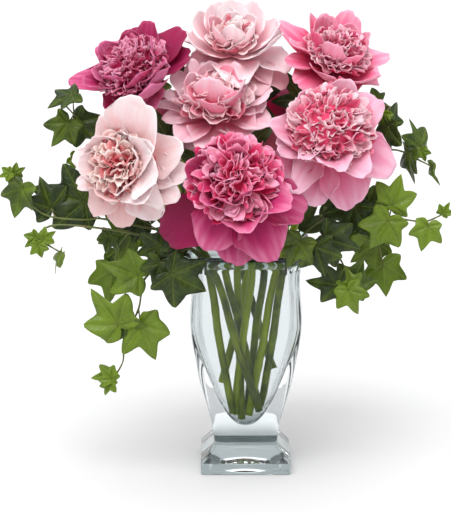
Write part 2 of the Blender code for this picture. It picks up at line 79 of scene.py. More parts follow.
CAVITY = (
    (226.0, 59.8, 9.5), (222.0, 54.0, 9.5), (217.0, 49.8, 9.5), (208.0, 47.3, 9.5),
    (196.0, 46.8, 9.5), (178.0, 47.9, 9.5), (156.0, 48.9, 9.5), (142.0, 47.5, 9.5),
    (128.0, 44.8, 9.5), (109.0, 39.8, 9.0), (92.0, 33.6, 9.0), (76.0, 27.4, 9.0),
    (62.0, 20.6, 9.5), (53.0, 14.6, 9.0), (48.0, 9.6, 7.0), (45.6, 5.6, 5.0), (44.8, 1.6, 1.5),
)
CAVITY_LEVELS = 90  # the same for the glass and the water, so that their surfaces follow
FOOT_HOLLOW = (36.0, 4.0)  # radius and depth of the round hollow under the foot

# Blooms. heart and faces are its middle and direction, as in the part. crown is the radius and
# height of the inner petals, count their number, width their half width and fringe how torn
# their margins are. inner is the size of the heap of petal bases, as a share of the crown.
# colours are those of the inner petals, and guards those of the broad ones: deep (at the base of
# a petal), body and pale (at its margin). rings holds the broad petals, ring by ring: count,
# first azimuth, elevation at the base, bend to the tip, length, half width and base height.
# features holds broad petals that stand out by themselves: azimuth, elevation, bend, length,
# half width, base height, roll, and tone from 0 (deep) to 1 (pale). The tones were set petal by
# petal to the light on each: low tones on shaded petals are painted shade and high tones on lit
# petals painted light, over the petal's own colour. Azimuths run from the right,
# counter-clockwise as seen by someone whom the bloom faces, and all angles are in degrees.
BLOOMS = {
    "front": dict(
        heart=(-10, -76, 298), faces=(0.0, -0.86, 0.51), crown=(45, 50), count=130, width=8.5,
        fringe=0.8, inner=0.62, seed=3,
        colours=((0.55, 0.005, 0.08), (0.86, 0.07, 0.24), (0.94, 0.42, 0.57)),
        # The guards' deep colour is partly painted shadow: it was darkened for the lower left petal,
        # which lies in the shade of the blooms above.
        guards=((0.17, 0.0, 0.035), (0.52, 0.03, 0.16), (0.78, 0.26, 0.42)),
        rings=(
            (5, 20, 46, 50, 50, 20, 8),
        ),
        features=(
            # The first feature is that lower left petal; its tone 0 makes it wholly deep as painted
            # shadow.
            (209, -22, -10, 83, 30, -2, 0, 0), (244, -6, -22, 60, 29, 2, 0, 0.35),
            (270, -16, -14, 68, 26, 0, 0, 0.3), (298, -4, -22, 72, 31, 2, 0, 0.35),
            (340, 2, -16, 66, 27, 1, 0, 0.3), (172, 34, 30, 60, 26, 2, 0, 0.2),
            (142, 30, 34, 52, 24, 2, 0, 0.1), (88, 40, 30, 52, 26, 1, 0, 0.5),
            (20, 26, 8, 48, 24, 2, 0, 0.5), (278, 24, 34, 66, 28, 3, 0, 0.5),
            (330, 26, 16, 64, 24, 6, 0, 0.45), (230, 36, 34, 60, 25, 5, 0, 0.4),
        ),
    ),
    "left": dict(
        heart=(-114, -42, 314), faces=(-0.42, -0.88, 0.22), crown=(35, 46), count=120, width=8.5,
        fringe=0.8, inner=0.66, seed=5,
        colours=((0.62, 0.07, 0.1), (0.9, 0.46, 0.43), (0.97, 0.8, 0.75)),
        guards=((0.82, 0.42, 0.4), (0.92, 0.62, 0.63), (0.96, 0.82, 0.83)),
        rings=(
            (6, 10, 38, 44, 50, 23, 4),
        ),
        features=(
            (60, 36, 2, 86, 38, 2, 0, 0.75), (18, 18, 0, 68, 25, 1, 0, 0.6),
            (358, 14, -8, 68, 19, 1, 0, 0.7), (336, 12, -10, 62, 22, 1, 0, 0.55),
            (322, 16, -12, 54, 15, 3, 0, 0.95), (306, 0, -16, 54, 24, 1, 0, 0.65),
            # These two lower petals have low tones as painted shade.
            (264, -4, -12, 56, 25, 0, 0, 0.2), (236, 4, -4, 54, 22, 0, 0, 0.25),
            (208, 20, 8, 50, 16, 1, 0, 0.6), (176, 22, 8, 50, 20, 1, 0, 0.55),
            (110, 30, 14, 54, 22, 2, 0, 0.6), (354, 32, 16, 66, 31, 14, 0, 0.9),
            (328, 28, 16, 60, 26, 12, 0, 0.8), (20, 34, 16, 62, 24, 13, 0, 0.8),
        ),
    ),
    "right": dict(
        heart=(76, -36, 342), faces=(0.2, -0.82, 0.54), crown=(42, 56), count=170, width=7.0,
        fringe=1.0, inner=0.8, seed=7,
        colours=((0.7, 0.05, 0.15), (0.87, 0.28, 0.4), (0.94, 0.66, 0.71)),
        guards=((0.62, 0.07, 0.18), (0.8, 0.25, 0.4), (0.88, 0.55, 0.66)),
        rings=(
            (7, 0, 40, 48, 50, 20, 4),
        ),
        features=(
            (26, 22, -6, 60, 26, 1, 0, 0.6), (328, 6, -18, 70, 29, 1, 0, 0.5),
            (286, -4, -22, 70, 30, 1, 0, 0.35), (252, 0, -22, 66, 24, 1, 0, 0.4),
            (236, 10, -12, 68, 17, 2, 0, 0.8), (214, 2, -12, 62, 23, 0, 0, 0.45),
            (200, 20, 4, 58, 20, 2, 0, 0.5),
            (180, 26, 10, 66, 20, 1, 0, 0.6), (234, 34, 22, 72, 16, 8, 40, 0.85),
            (258, 34, 26, 76, 24, 6, 0, 0.7), (294, 26, 8, 64, 24, 4, 0, 0.7),
            (130, 34, 26, 52, 24, 1, 0, 0.4), (64, 36, 26, 58, 24, 1, 0, 0.8),
        ),
    ),
    "middle": dict(
        heart=(-29, 2, 357), faces=(-0.08, -0.5, 0.86), crown=(38, 44), count=70, width=9.5,
        fringe=0.7, inner=0.66, seed=11,
        colours=((0.62, 0.05, 0.13), (0.88, 0.34, 0.42), (0.95, 0.73, 0.75)),
        guards=((0.8, 0.15, 0.28), (0.95, 0.34, 0.46), (0.97, 0.68, 0.75)),
        rings=(
            (7, 12, 40, 46, 48, 22, 5),
        ),
        features=(
            (20, 20, -10, 54, 20, 3, 0, 0.8), (10, 16, -18, 44, 22, 2, 0, 0.7),
            (348, 8, -26, 52, 25, 2, 0, 0.7), (320, 6, -26, 42, 27, 3, 0, 0.55),
            (264, 4, -20, 46, 24, 1, 0, 0.7), (232, 6, -18, 46, 23, 1, 0, 0.65),
            (198, 10, -14, 48, 15, 2, 0, 0.8), (184, 16, -8, 54, 12, 3, 0, 0.9),
            (178, 26, 0, 50, 15, 2, 0, 0.95), (154, 34, 8, 56, 18, 1, 0, 0.9),
            (132, 44, 22, 56, 12, 2, 0, 0.8), (114, 46, 20, 48, 11, 3, 0, 0.95),
            (66, 38, 18, 50, 24, 1, 0, 0.9), (262, 58, 56, 52, 27, 8, 0, 0.7),
            (342, 48, 30, 56, 24, 5, 0, 0.9),
        ),
    ),
    "top_left": dict(
        heart=(-104, 16, 388), faces=(-0.34, -0.56, 0.76), crown=(37, 46), count=170, width=6.2,
        fringe=1.1, inner=0.78, seed=13,
        colours=((0.3, 0.002, 0.05), (0.58, 0.05, 0.18), (0.82, 0.36, 0.5)),
        guards=((0.24, 0.002, 0.05), (0.46, 0.02, 0.13), (0.74, 0.22, 0.4)),
        rings=(
            (7, 6, 36, 50, 50, 19, 4),
        ),
        features=(
            (192, 8, 0, 70, 20, 1, 0, 0.35), (158, 26, 14, 54, 20, 1, 0, 0.3),
            (236, 30, 30, 60, 20, 4, 0, 0.3), (260, 4, 0, 44, 24, 1, 0, 0.15),
            (306, 4, -10, 44, 24, 0, 0, 0.7),
            (284, 8, 8, 44, 22, 2, 0, 0.25), (318, 8, 84, 62, 26, 2, 0, 1),
            (118, 20, 10, 54, 20, 1, 0, 0.05), (96, 24, 10, 56, 22, 2, 0, 0.15),
            (66, 12, 2, 62, 25, 1, 0, 0), (42, 8, -6, 52, 24, 1, 0, 0.05),
            (344, 10, 72, 60, 22, 2, 0, 0.95), (344, 34, 26, 64, 20, 3, 0, 0.4),
        ),
    ),
    "top": dict(
        heart=(-12, 40, 411), faces=(-0.02, -0.36, 0.93), crown=(26, 40), count=44, width=9.0,
        fringe=0.6, inner=0.6, seed=17,
        colours=((0.66, 0.12, 0.18), (0.9, 0.5, 0.53), (0.96, 0.82, 0.82)),
        guards=((0.86, 0.4, 0.46), (0.94, 0.62, 0.67), (0.96, 0.84, 0.86)),
        rings=(
            (6, 30, 46, 54, 42, 18, 3),
        ),
        features=(
            (206, 8, 68, 54, 31, 5, 0, 0.6), (330, 8, 66, 56, 35, 5, 0, 0.95),
            (0, 20, 62, 56, 28, 4, 0, 0.55), (164, 14, -4, 56, 18, 1, 0, 0.35),
            (168, 0, -10, 36, 14, 0, 0, 0.3), (276, 6, -22, 56, 26, 2, 0, 0.5),
            (212, -4, -18, 50, 22, 0, 0, 0.3),
            (336, 4, -18, 56, 25, 1, 0, 0.7), (330, -10, -22, 58, 26, 0, 0, 0.05),
            (300, -6, -24, 56, 27, 0, 0, 0.2), (168, 22, 62, 54, 28, 4, 0, 0.4),
            (95, 44, 34, 52, 24, 3, 0, 0.85), (46, 36, 48, 54, 26, 3, 0, 0.5),
            (128, 40, 44, 52, 24, 3, 0, 0.6),
        ),
    ),
    "top_right": dict(
        heart=(84, 32, 398), faces=(0.3, -0.42, 0.86), crown=(32, 45), count=150, width=7.0,
        fringe=1.0, inner=0.72, seed=19,
        colours=((0.48, 0.01, 0.08), (0.78, 0.17, 0.3), (0.91, 0.56, 0.63)),
        guards=((0.56, 0.03, 0.12), (0.88, 0.15, 0.3), (0.92, 0.46, 0.58)),
        rings=(
            (6, 40, 38, 48, 48, 20, 4),
        ),
        features=(
            (130, 20, 2, 66, 15, 2, -24, 0.5), (112, 44, 10, 54, 12, 2, -10, 0.5),
            (156, 26, 0, 52, 13, 3, 20, 0.6), (200, 0, -14, 48, 22, 1, 0, 0.35),
            (172, 12, -6, 50, 16, 1, 0, 0.35), (226, 8, 50, 66, 26, 2, -10, 0.5),
            (282, 8, 58, 58, 31, 2, 0, 0.55), (258, 0, -20, 36, 25, 0, 0, 0.4),
            (348, 20, -2, 56, 22, 1, 0, 0.55), (324, 6, -16, 46, 22, 1, 0, 0.5),
            (46, 34, 26, 60, 20, 1, 0, 0.5), (82, 36, 26, 52, 20, 1, 0, 0.4),
        ),
    ),
    "back_right": dict(
        heart=(66, 72, 330), faces=(0.5, 0.66, 0.56), crown=(38, 46), count=90, width=8.5,
        fringe=0.7, inner=0.75, seed=23,
        colours=((0.3, 0.002, 0.05), (0.58, 0.05, 0.18), (0.82, 0.36, 0.5)),
        guards=((0.24, 0.002, 0.05), (0.46, 0.02, 0.13), (0.74, 0.22, 0.4)),
        rings=((7, 6, 38, 48, 48, 20, 4), (8, 30, 6, -8, 56, 26, 1)),
        features=(),
    ),
    "back_left": dict(
        heart=(-78, 72, 322), faces=(-0.5, 0.66, 0.56), crown=(38, 46), count=90, width=9.0,
        fringe=0.6, inner=0.7, seed=29,
        colours=((0.62, 0.015, 0.1), (0.84, 0.22, 0.34), (0.94, 0.68, 0.71)),
        guards=((0.5, 0.03, 0.12), (0.72, 0.19, 0.34), (0.86, 0.52, 0.63)),
        rings=((7, 16, 38, 46, 48, 21, 4), (8, 0, 6, -10, 56, 26, 1)),
        features=(),
    ),
    "back": dict(
        heart=(-6, 92, 300), faces=(0.0, 0.92, 0.38), crown=(40, 46), count=90, width=10.0,
        fringe=0.5, inner=0.68, seed=31,
        colours=((0.62, 0.05, 0.13), (0.88, 0.34, 0.42), (0.95, 0.73, 0.75)),
        guards=((0.6, 0.06, 0.16), (0.85, 0.25, 0.37), (0.94, 0.68, 0.74)),
        rings=((7, 8, 38, 46, 50, 22, 4), (8, 20, 6, -10, 56, 26, 1)),
        features=(),
    ),
}

CROWN_MIDDLE = 0.36  # height of the middle of a crown, over the crown's own height
CLAW_CIRCLE = 6.0  # radius of the circle round the heart on which broad petals stand
# Rows and columns of points on a sheet.
BROAD_GRID = (20, 19)
INNER_GRID = (9, 8)
SEPAL_GRID = (12, 9)

# Peony stems: where each passes the mouth and where it ends in the water, as in the part.
STEMS = {
    "front": ((6, -23, 216), (-12, -1, 56)),
    "left": ((-37, -27, 216), (14, -15, 62)),
    "right": ((39, -19, 216), (16, 13, 62)),
    "middle": ((-22, -11, 216), (13, 4, 65)),
    "top_left": ((-41, -6, 216), (-13, -12, 59)),
    "top": ((-9, 8, 216), (-4, 3, 49)),
    "top_right": ((33, 0, 216), (3, -9, 56)),
    "back_right": ((9, 32, 216), (-24, 4, 88)),
    "back_left": ((-12, 42, 216), (28, 14, 101)),
    "back": ((18, 16, 216), (1, 11, 54)),
}
STEM_RADIUS = 4.0
NECK_START = 18.0  # distance under the heart where the stem has turned to the bloom's axis
STEM_TOP = 8.6  # distance under the heart where the stem ends in the calyx

# Peony leaves, three leaflets on a stalk, by the stem that they grew on: height at which the
# stalk leaves the stem, place of the base, heading, lean, turn and length, as for the ivy below.
STEM_LEAVES = {
    "front": (
        (252, (0, -36, 250), 200, 10, 0, 40),
        (262, (-16, -44, 262), 185, 0, 0, 46),
        (268, (4, -46, 262), 350, 0, 0, 42),
    ),
    "left": (
        (262, (-84, -20, 276), 196, 4, 0, 32),
    ),
    "right": (
        (236, (51, -6, 244), 62, -6, 0, 48),
        (276, (70, -12, 282), 15, -10, 0, 40),
    ),
    "middle": (
        (300, (-10, 4, 318), 35, -6, 0, 50),
        (296, (-34, -8, 304), 150, 0, 0, 44),
    ),
    "top_left": (
        (322, (-78, 14, 330), 68, -6, 0, 46),
        (262, (-60, 8, 262), 110, -30, -80, 40),
    ),
    "top": (
        (366, (-28, 41, 380), 156, 0, 0, 46),
        (354, (-2, 41, 362), 24, 0, 0, 46),
        (320, (-20, 34, 326), 215, -20, 0, 44),
    ),
    "top_right": (
        (366, (60, 35, 366), 130, 0, 0, 42),
        (300, (62, 22, 306), 40, -10, 0, 42),
        (262, (52, 12, 262), 80, -30, 80, 40),
    ),
    "back_right": (
        (262, (34, 50, 266), 330, -30, 180, 46),
        (290, (60, 50, 300), 20, -20, 180, 36),
    ),
    "back_left": (
        (262, (-44, 54, 262), 210, -30, 180, 46),
        (286, (-64, 54, 293), 160, -20, 180, 36),
    ),
    "back": (
        (262, (10, 56, 254), 280, -40, 180, 44),
        (258, (0, 54, 262), 200, -20, 180, 36),
    ),
}
PEONY_STALK_RADIUS = 1.2
LEAFLETS = ((0, 1.0, 0.17), (47, 0.84, 0.18), (-47, 0.84, 0.18))  # angle, length and half width

# Ivy: a vine's route, then its leaves: number of the route point that the stalk leaves from,
# place of the base, heading of the midrib in the XZ plane, lean of the tip to -Y, turn about the
# midrib, length, and tone from 0 (old and dark) to 1 (young and bright). The tone is partly the
# leaf's age and partly painted light and shade: shaded leaves were given low tones, lit leaves high.
SPRIGS = {
    "ivy_left_upper": dict(
        vine=((-40, 6, 206), (-42, 8, 222), (-66, 14, 246), (-108, 12, 288), (-146, 8, 330),
              (-170, 0, 358), (-184, -4, 374)),
        leaves=(
            (5, (-171, 2, 377), 196, 10, 62, 28, 0.2),
            (5, (-176, -6, 351), 236, 10, 0, 29, 0.45),
            (4, (-168, 4, 350), 318, 0, 10, 34, 0.2),
            (3, (-172, 2, 314), 330, 0, 0, 15, 0.9),
        ),
    ),
    "ivy_left_middle": dict(
        vine=((-45, -13, 206), (-47, -14, 224), (-72, -14, 240), (-118, -12, 250),
              (-144, -15, 256), (-160, -20, 256), (-188, -20, 258), (-204, -20, 264),
              (-220, -18, 280), (-232, -16, 300)),
        leaves=(
            (4, (-160, -13, 273), 169, 0, 0, 53, 0.1),
            (8, (-221, -20, 288), 252, 0, 30, 32, 0.4),
            (9, (-230, -14, 302), 20, 0, 20, 14, 0.9),
            (9, (-233, -18, 303), 200, 0, 20, 12, 0.9),
            (3, (-134, -10, 238), 250, 0, 20, 21, 0.3),
            (6, (-193, -14, 266), 108, 0, 10, 34, 0.1),
            (2, (-104, -4, 252), 196, 0, 10, 28, 0.0),
        ),
    ),
    "ivy_left_twig": dict(
        vine=((-45, -22, 206), (-47, -23, 223), (-74, -27, 235), (-128, -25, 246),
              (-182, -25, 252), (-201, -28, 247), (-203, -31, 238), (-193, -30, 231),
              (-184, -28, 225)),
        leaves=(
            (5, (-207, -31, 241), 222, 10, 0, 15, 0.9),
            (6, (-200, -34, 240), 30, 10, 0, 15, 0.95),
            (6, (-205, -34, 234), 285, 10, 0, 15, 0.9),
            (8, (-183, -30, 223), 236, 0, 70, 20, 0.6),
        ),
    ),
    "ivy_left_trail": dict(
        vine=((-45, -33, 206), (-47, -34, 222), (-62, -38, 232), (-80, -42, 224),
              (-93, -44, 209), (-101, -46, 200), (-103, -47, 190), (-106, -47, 172),
              (-115, -47, 152), (-121, -47, 134), (-122, -47, 118), (-131, -47, 101)),
        leaves=(
            (5, (-106, -51, 207), 161, 6, 0, 38, 0.65),
            (8, (-126, -54, 157), 127, 4, 0, 42, 0.8),
            (8, (-120, -51, 160), 300, 0, 10, 28, 0.35),
            (7, (-104, -51, 157), 291, 4, 0, 40, 0.8),
            (11, (-133, -49, 101), 135, 10, 0, 17, 0.95),
            (11, (-134, -46, 104), 182, 10, 30, 19, 0.95),
            (11, (-135, -49, 97), 250, 10, 0, 14, 0.9),
        ),
    ),
    "ivy_left_rim": dict(
        vine=((-40, -41, 206), (-41, -42, 220), (-52, -54, 234), (-66, -62, 232),
              (-72, -66, 225)),
        leaves=(
            (3, (-84, -56, 238), 200, 0, 20, 28, 0.05),
            (4, (-73, -70, 213), 327, -4, 0, 44, 0.12),
            (4, (-84, -62, 222), 250, 0, 10, 26, 0.1),
            (2, (-62, -56, 246), 160, 10, 10, 30, 0.0),
        ),
    ),
    "ivy_right_upper": dict(
        vine=((45, 11, 206), (47, 12, 222), (62, 16, 250), (96, 12, 292), (124, 2, 318),
              (149, -4, 323), (168, -8, 315), (183, -10, 308)),
        leaves=(
            (5, (161, -10, 322), 268, 0, 70, 33, 0.3),
            (6, (171, -4, 327), 100, 0, 50, 29, 0.3),
            (6, (173, -10, 324), 290, 0, 0, 13, 0.8),
            (7, (185, -10, 308), 275, 0, 76, 20, 0.7),
        ),
    ),
    "ivy_right_top": dict(
        vine=((43, 22, 206), (44, 24, 222), (58, 32, 254), (98, 34, 300), (130, 22, 334),
              (142, 8, 352), (142, 0, 366)),
        leaves=(
            (6, (130, -2, 371), 165, 20, 0, 20, 0.3),
            (6, (136, -8, 360), 250, 0, 30, 18, 0.75),
            (5, (143, 0, 350), 112, 0, 40, 27, 0.25),
            (5, (140, -15, 349), 268, 0, 58, 33, 0.2),
        ),
    ),
    "ivy_right_middle": dict(
        vine=((45, -5, 206), (47, -6, 224), (66, -12, 248), (88, -20, 263), (104, -25, 265),
              (122, -28, 263), (141, -30, 261), (165, -30, 257), (177, -28, 256),
              (189, -25, 260), (194, -25, 263)),
        leaves=(
            (6, (143, -35, 274), 74, 8, 0, 33, 0.95),
            (6, (139, -40, 260), 240, 8, 0, 36, 0.85),
            (8, (179, -32, 252), 256, 10, 0, 26, 1.0),
            (10, (194, -26, 264), 60, 20, 0, 13, 0.9),
            (4, (107, -31, 272), 248, 0, 20, 40, 0.15),
            (5, (121, -16, 272), 120, 0, 10, 24, 0.3),
        ),
    ),
    "ivy_right_trail": dict(
        vine=((45, -29, 206), (46, -30, 222), (62, -33, 233), (76, -36, 234), (90, -40, 224),
              (98, -43, 210), (101, -44, 196)),
        leaves=(
            (6, (103, -40, 192), 66, 4, 0, 33, 0.4),
            (5, (104, -50, 195), 108, 0, 10, 21, 0.75),
            (6, (100, -54, 193), 292, 8, 0, 27, 0.8),
            (4, (89, -50, 198), 178, 0, 0, 30, 0.15),
        ),
    ),
    "ivy_right_rim": dict(
        vine=((39, -41, 206), (40, -42, 220), (46, -54, 238), (60, -60, 243)),
        leaves=(
            (3, (78, -58, 246), 338, 0, 0, 37, 0.1),
            (2, (52, -70, 245), 245, 6, 0, 30, 0.45),
            (3, (68, -68, 240), 285, 0, 10, 34, 0.15),
        ),
    ),
    "ivy_back_left": dict(
        vine=((-41, 42, 206), (-43, 43, 222), (-58, 58, 236), (-84, 74, 238), (-112, 82, 226),
              (-130, 86, 206), (-136, 88, 182)),
        leaves=(
            (3, (-84, 82, 250), 160, 0, 180, 38, 0.3),
            (4, (-116, 88, 222), 200, 0, 180, 40, 0.45),
            (5, (-132, 92, 200), 330, 0, 180, 34, 0.6),
            (6, (-138, 92, 178), 262, 0, 180, 36, 0.75),
        ),
    ),
    "ivy_back_right": dict(
        vine=((41, 42, 206), (43, 43, 222), (56, 58, 236), (80, 76, 240), (110, 84, 232),
              (134, 84, 214), (142, 84, 190)),
        leaves=(
            (3, (82, 84, 250), 30, 0, 180, 38, 0.35),
            (4, (112, 90, 228), 330, 0, 180, 42, 0.4),
            (5, (136, 90, 208), 215, 0, 180, 34, 0.55),
            (6, (143, 90, 186), 275, 0, 180, 36, 0.7),
        ),
    ),
}
VINE_RADIUS = 1.3
STALK_RADIUS = 0.8
STALK_SAG = 0.06  # of a stalk, over its length
LEAF_SEAT = 0.14  # how far a stalk runs on under its leaf, over the leaf's length
SEAT_DEPTH = 0.4  # how far its end then lies under the leaf's surface
# A leaf's lobe tips and the notches between them: angle from the midrib, reach over its length.
LOBE_TIPS = ((0, 1.0), (52, 0.84), (112, 0.56), (180, 0.1))
LOBE_NOTCHES = ((24, 0.56), (84, 0.46), (146, 0.34))
MAIN_VEINS = LOBE_TIPS[:3]  # on each side; the last tip is where the leaf meets its stalk

# The swollen end of a stem under its bloom: distance behind the heart and radius.
CALYX_CUP = (
    (9.5, 0.01), (9.4, 3.0), (8.0, 4.2), (6.0, 7.0), (4.4, 9.0), (3.4, 9.2), (3.3, 0.01),
)
SEPALS = 5
SEPAL_ELEVATION = math.radians(-4)
SEPAL_HEIGHT = -4.5  # of their bases over the heart
SEPAL_THICKNESS = 0.8 * MM

# The studio, in metres: the floor lies just under the foot, whose underside reflects because
# air stays beneath it. Suns are turned from straight down and widened to soft panels.
FLOOR_SIDE = 24.0
FLOOR_LEVEL = -0.0004
KEY_TURN, KEY_SPREAD = (34, 0, -16), 45
TOP_TURN, TOP_SPREAD = (-4, 0, 0), 70
CAMERA_PLACE = (-0.0203, -2.5334, 0.7984)
CAMERA_TURN = (77, 0, 0)
CAMERA_VIEW = 0.19705  # angle from the picture's foot to its top, in radians


# Whole-array mathematics


def smooth(x):
    """0 below 0, 1 above 1, and the cubic 3x^2 - 2x^3 between."""
    x = np.clip(x, 0.0, 1.0)
    return x * x * (3 - 2 * x)


def unit(vectors):
    """The vectors, each over its own length."""
    return vectors / np.linalg.norm(vectors, axis=-1, keepdims=True)


def stacked(*parts):
    """Coordinates, spread to one grid and put side by side as its last axis."""
    return np.stack(np.broadcast_arrays(*parts), -1)


def around(count):
    """The angles of points evenly round a circle."""
    return np.linspace(0, math.tau, count, endpoint=False)


def through(knots, samples):
    """Points at even steps of the Catmull-Rom curve through the knots, ends mirrored outwards."""
    knots = np.asarray(knots, float)
    knots = np.vstack([2 * knots[0] - knots[1], knots, 2 * knots[-1] - knots[-2]])
    at = np.linspace(0, len(knots) - 3 - 1e-9, samples)
    k = at.astype(int)
    t = (at - k)[:, None]
    a, b, c, d = knots[k], knots[k + 1], knots[k + 2], knots[k + 3]
    return 0.5 * (
        2 * b + (c - a) * t + (2 * a - 5 * b + 4 * c - d) * t**2 + (3 * b - a - 3 * c + d) * t**3
    )


def grid_faces(rows, columns, closed, count):
    """Quads of count grids of rows x columns points; closed joins the last column to the first."""
    i, j = np.meshgrid(
        np.arange(rows - 1), np.arange(columns if closed else columns - 1), indexing="ij"
    )
    k = (j + 1) % columns
    one = np.stack(
        [i * columns + j, i * columns + k, (i + 1) * columns + k, (i + 1) * columns + j], -1
    ).reshape(-1, 4)
    return (np.arange(count)[:, None, None] * rows * columns + one).reshape(-1, 4)


def drawn_in(ring, share):
    """A ring drawn in towards its middle, to a share of its size."""
    middle = ring.mean(axis=1, keepdims=True)
    return middle + share * (ring - middle)


def tube(route, radius, reference, sides):
    """A closed tube along a route, and each point's share of the length and of the way round.

    Each ring, of (rings, sides, 3), is a circle across the tangent, its first point in the plane
    of the tangent and the reference direction. The end rings are drawn in to a point.
    """
    tangent = unit(np.gradient(route, axis=0))
    across = unit(np.cross(tangent, np.asarray(reference, float)))
    up = np.cross(across, tangent)
    angle = around(sides)[:, None]
    circle = np.cos(angle) * across[:, None] + np.sin(angle) * up[:, None]
    rings = route[:, None] + np.reshape(radius, (-1, 1, 1)) * circle
    first, last = rings[:1], rings[-1:]
    rings = np.concatenate([drawn_in(first, 0.0005), drawn_in(first, 0.5), rings,
                            drawn_in(last, 0.5), drawn_in(last, 0.0005)])
    return rings, np.linspace(0, 1, len(rings))[:, None], np.linspace(0, 1, sides, endpoint=False)


def put(name, data):
    """Puts a new object with this data into the scene."""
    thing = bpy.data.objects.new(name, data)
    bpy.context.scene.collection.objects.link(thing)
    return thing


class Shape:
    """Points, quads and values by vertex, gathered piece by piece for one mesh."""

    def __init__(self):
        self.points, self.faces, self.maps, self.tones = [], [], [], []
        self.size = 0

    def add(self, points, flat=0.0, tone=0.0, closed=False):
        """Adds a grid of points, (rows, columns, 3), or several at once, and its quads.

        flat is each point's place on the pattern and tone one number by point. closed joins the
        last column to the first.
        """
        rows, columns = points.shape[-3:-1]
        count = points.size // (3 * rows * columns)
        self.points.append(points.reshape(-1, 3))
        self.faces.append(grid_faces(rows, columns, closed, count) + self.size)
        self.maps.append(np.broadcast_to(flat, (*points.shape[:-1], 2)).reshape(-1, 2))
        self.tones.append(np.broadcast_to(np.asarray(tone, float), points.shape[:-1]).ravel())
        self.size += count * rows * columns

    def build(self, name, material):
        """The object, with its pattern map and its tone attribute."""
        points = np.concatenate(self.points) * MM
        faces = np.concatenate(self.faces)
        mesh = bpy.data.meshes.new(name)
        mesh.vertices.add(len(points))
        mesh.vertices.foreach_set("co", points.ravel())
        mesh.loops.add(faces.size)
        mesh.loops.foreach_set("vertex_index", faces.ravel())
        mesh.polygons.add(len(faces))
        mesh.polygons.foreach_set("loop_start", np.arange(0, faces.size, 4))
        mesh.update(calc_edges=True)
        pattern = mesh.uv_layers.new(name="pattern")
        pattern.data.foreach_set("uv", np.concatenate(self.maps)[faces.ravel()].ravel())
        tone = mesh.attributes.new("tone", "FLOAT", "POINT")
        tone.data.foreach_set("value", np.concatenate(self.tones))
        mesh.materials.append(material)
        mesh.shade_smooth()
        piece = put(name, mesh)
        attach(piece, BODY)
        return piece


def merge_poles(piece):
    """Merges the points that meet at the poles of a closed skin."""
    weld = piece.modifiers.new("poles", "WELD")
    weld.merge_threshold = 0.01 * MM
    return piece


def thicken(piece, thickness):
    """Gives a piece made of open sheets its thickness in metres, half to each side."""
    wall = piece.modifiers.new("thickness", "SOLIDIFY")
    wall.thickness = thickness
    wall.offset = 0.0
    wall.use_rim = True
    return piece


def stand_for(node, slot, *pieces):
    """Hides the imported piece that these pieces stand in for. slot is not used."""
    for piece in pieces:
        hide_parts(node)


# Shader maths


class Value:
    """A shader socket in arithmetic: an expression on values adds its Math nodes."""

    def __init__(self, nodes, socket):
        self.nodes, self.socket = nodes, socket

    def __add__(self, other):
        return self.nodes.math("ADD", self, other)

    def __sub__(self, other):
        return self.nodes.math("SUBTRACT", self, other)

    def __rsub__(self, other):
        return self.nodes.math("SUBTRACT", other, self)

    def __mul__(self, other):
        return self.nodes.math("MULTIPLY", self, other)

    def __abs__(self):
        return self.nodes.math("ABSOLUTE", self)

    __radd__, __rmul__ = __add__, __mul__


class Nodes:
    """The node tree of one material, and the few kinds of node that it is made of."""

    def __init__(self, name):
        self.material = bpy.data.materials.new(name)
        self.material.use_nodes = True
        self.tree = self.material.node_tree
        self.tree.nodes.clear()

    def add(self, kind, settings=None, inputs=None, output=0):
        """Adds a node: its settings first, then the values or links of its sockets."""
        node = self.tree.nodes.new(kind)
        for key, setting in (settings or {}).items():
            setattr(node, key, setting)
        for key, value in (inputs or {}).items():
            if isinstance(value, Value):
                self.tree.links.new(value.socket, node.inputs[key])
            else:
                node.inputs[key].default_value = value
        return Value(self, node.outputs[output]) if node.outputs else None

    def math(self, operation, first, second=0.0):
        return self.add("ShaderNodeMath", {"operation": operation}, {0: first, 1: second})

    def ease(self, value, low, high):
        """0 at low, 1 at high, smooth between."""
        return self.add("ShaderNodeMapRange", {"interpolation_type": "SMOOTHSTEP"},
                        {"Value": value, "From Min": low, "From Max": high})

    def mix(self, factor, first, second):
        """A mix of two colours."""
        first, second = (c if isinstance(c, Value) else (*c, 1.0) for c in (first, second))
        inputs = {0: factor, 6: first, 7: second}
        return self.add("ShaderNodeMix", {"data_type": "RGBA"}, inputs, output=2)

    def pattern(self):
        """The two coordinates of the pattern map."""
        place = self.add("ShaderNodeUVMap", {"uv_map": "pattern"})
        return self.parts(place)[:2]

    def parts(self, vector):
        node = self.add("ShaderNodeSeparateXYZ", inputs={0: vector}).socket.node
        return [Value(self, socket) for socket in node.outputs]

    def vector(self, x, y, z):
        return self.add("ShaderNodeCombineXYZ", inputs={0: x, 1: y, 2: z})

    def place(self):
        """Where the point is on the object, in metres."""
        return self.add("ShaderNodeTexCoord", output=3)

    def tone(self):
        return self.add("ShaderNodeAttribute", {"attribute_name": "tone"}, output=2)

    def noise(self, vector, scale, detail):
        inputs = {"Vector": vector, "Scale": scale, "Detail": detail, "Roughness": 0.55}
        return self.add("ShaderNodeTexNoise", inputs=inputs)

    def bump(self, height, strength, distance):
        inputs = {"Height": height, "Strength": strength, "Distance": distance}
        return self.add("ShaderNodeBump", inputs=inputs)

    def surface(self, **sockets):
        """A Principled surface at the output, from socket names with _ for a space."""
        inputs = {key.replace("_", " "): value for key, value in sockets.items()}
        inputs = {k: (*v, 1.0) if k.endswith(("Color", "Tint")) and isinstance(v, tuple) else v
                  for k, v in inputs.items()}
        shader = self.add("ShaderNodeBsdfPrincipled", inputs=inputs)
        self.add("ShaderNodeOutputMaterial", inputs={0: shader})
        return self.material


# Petals


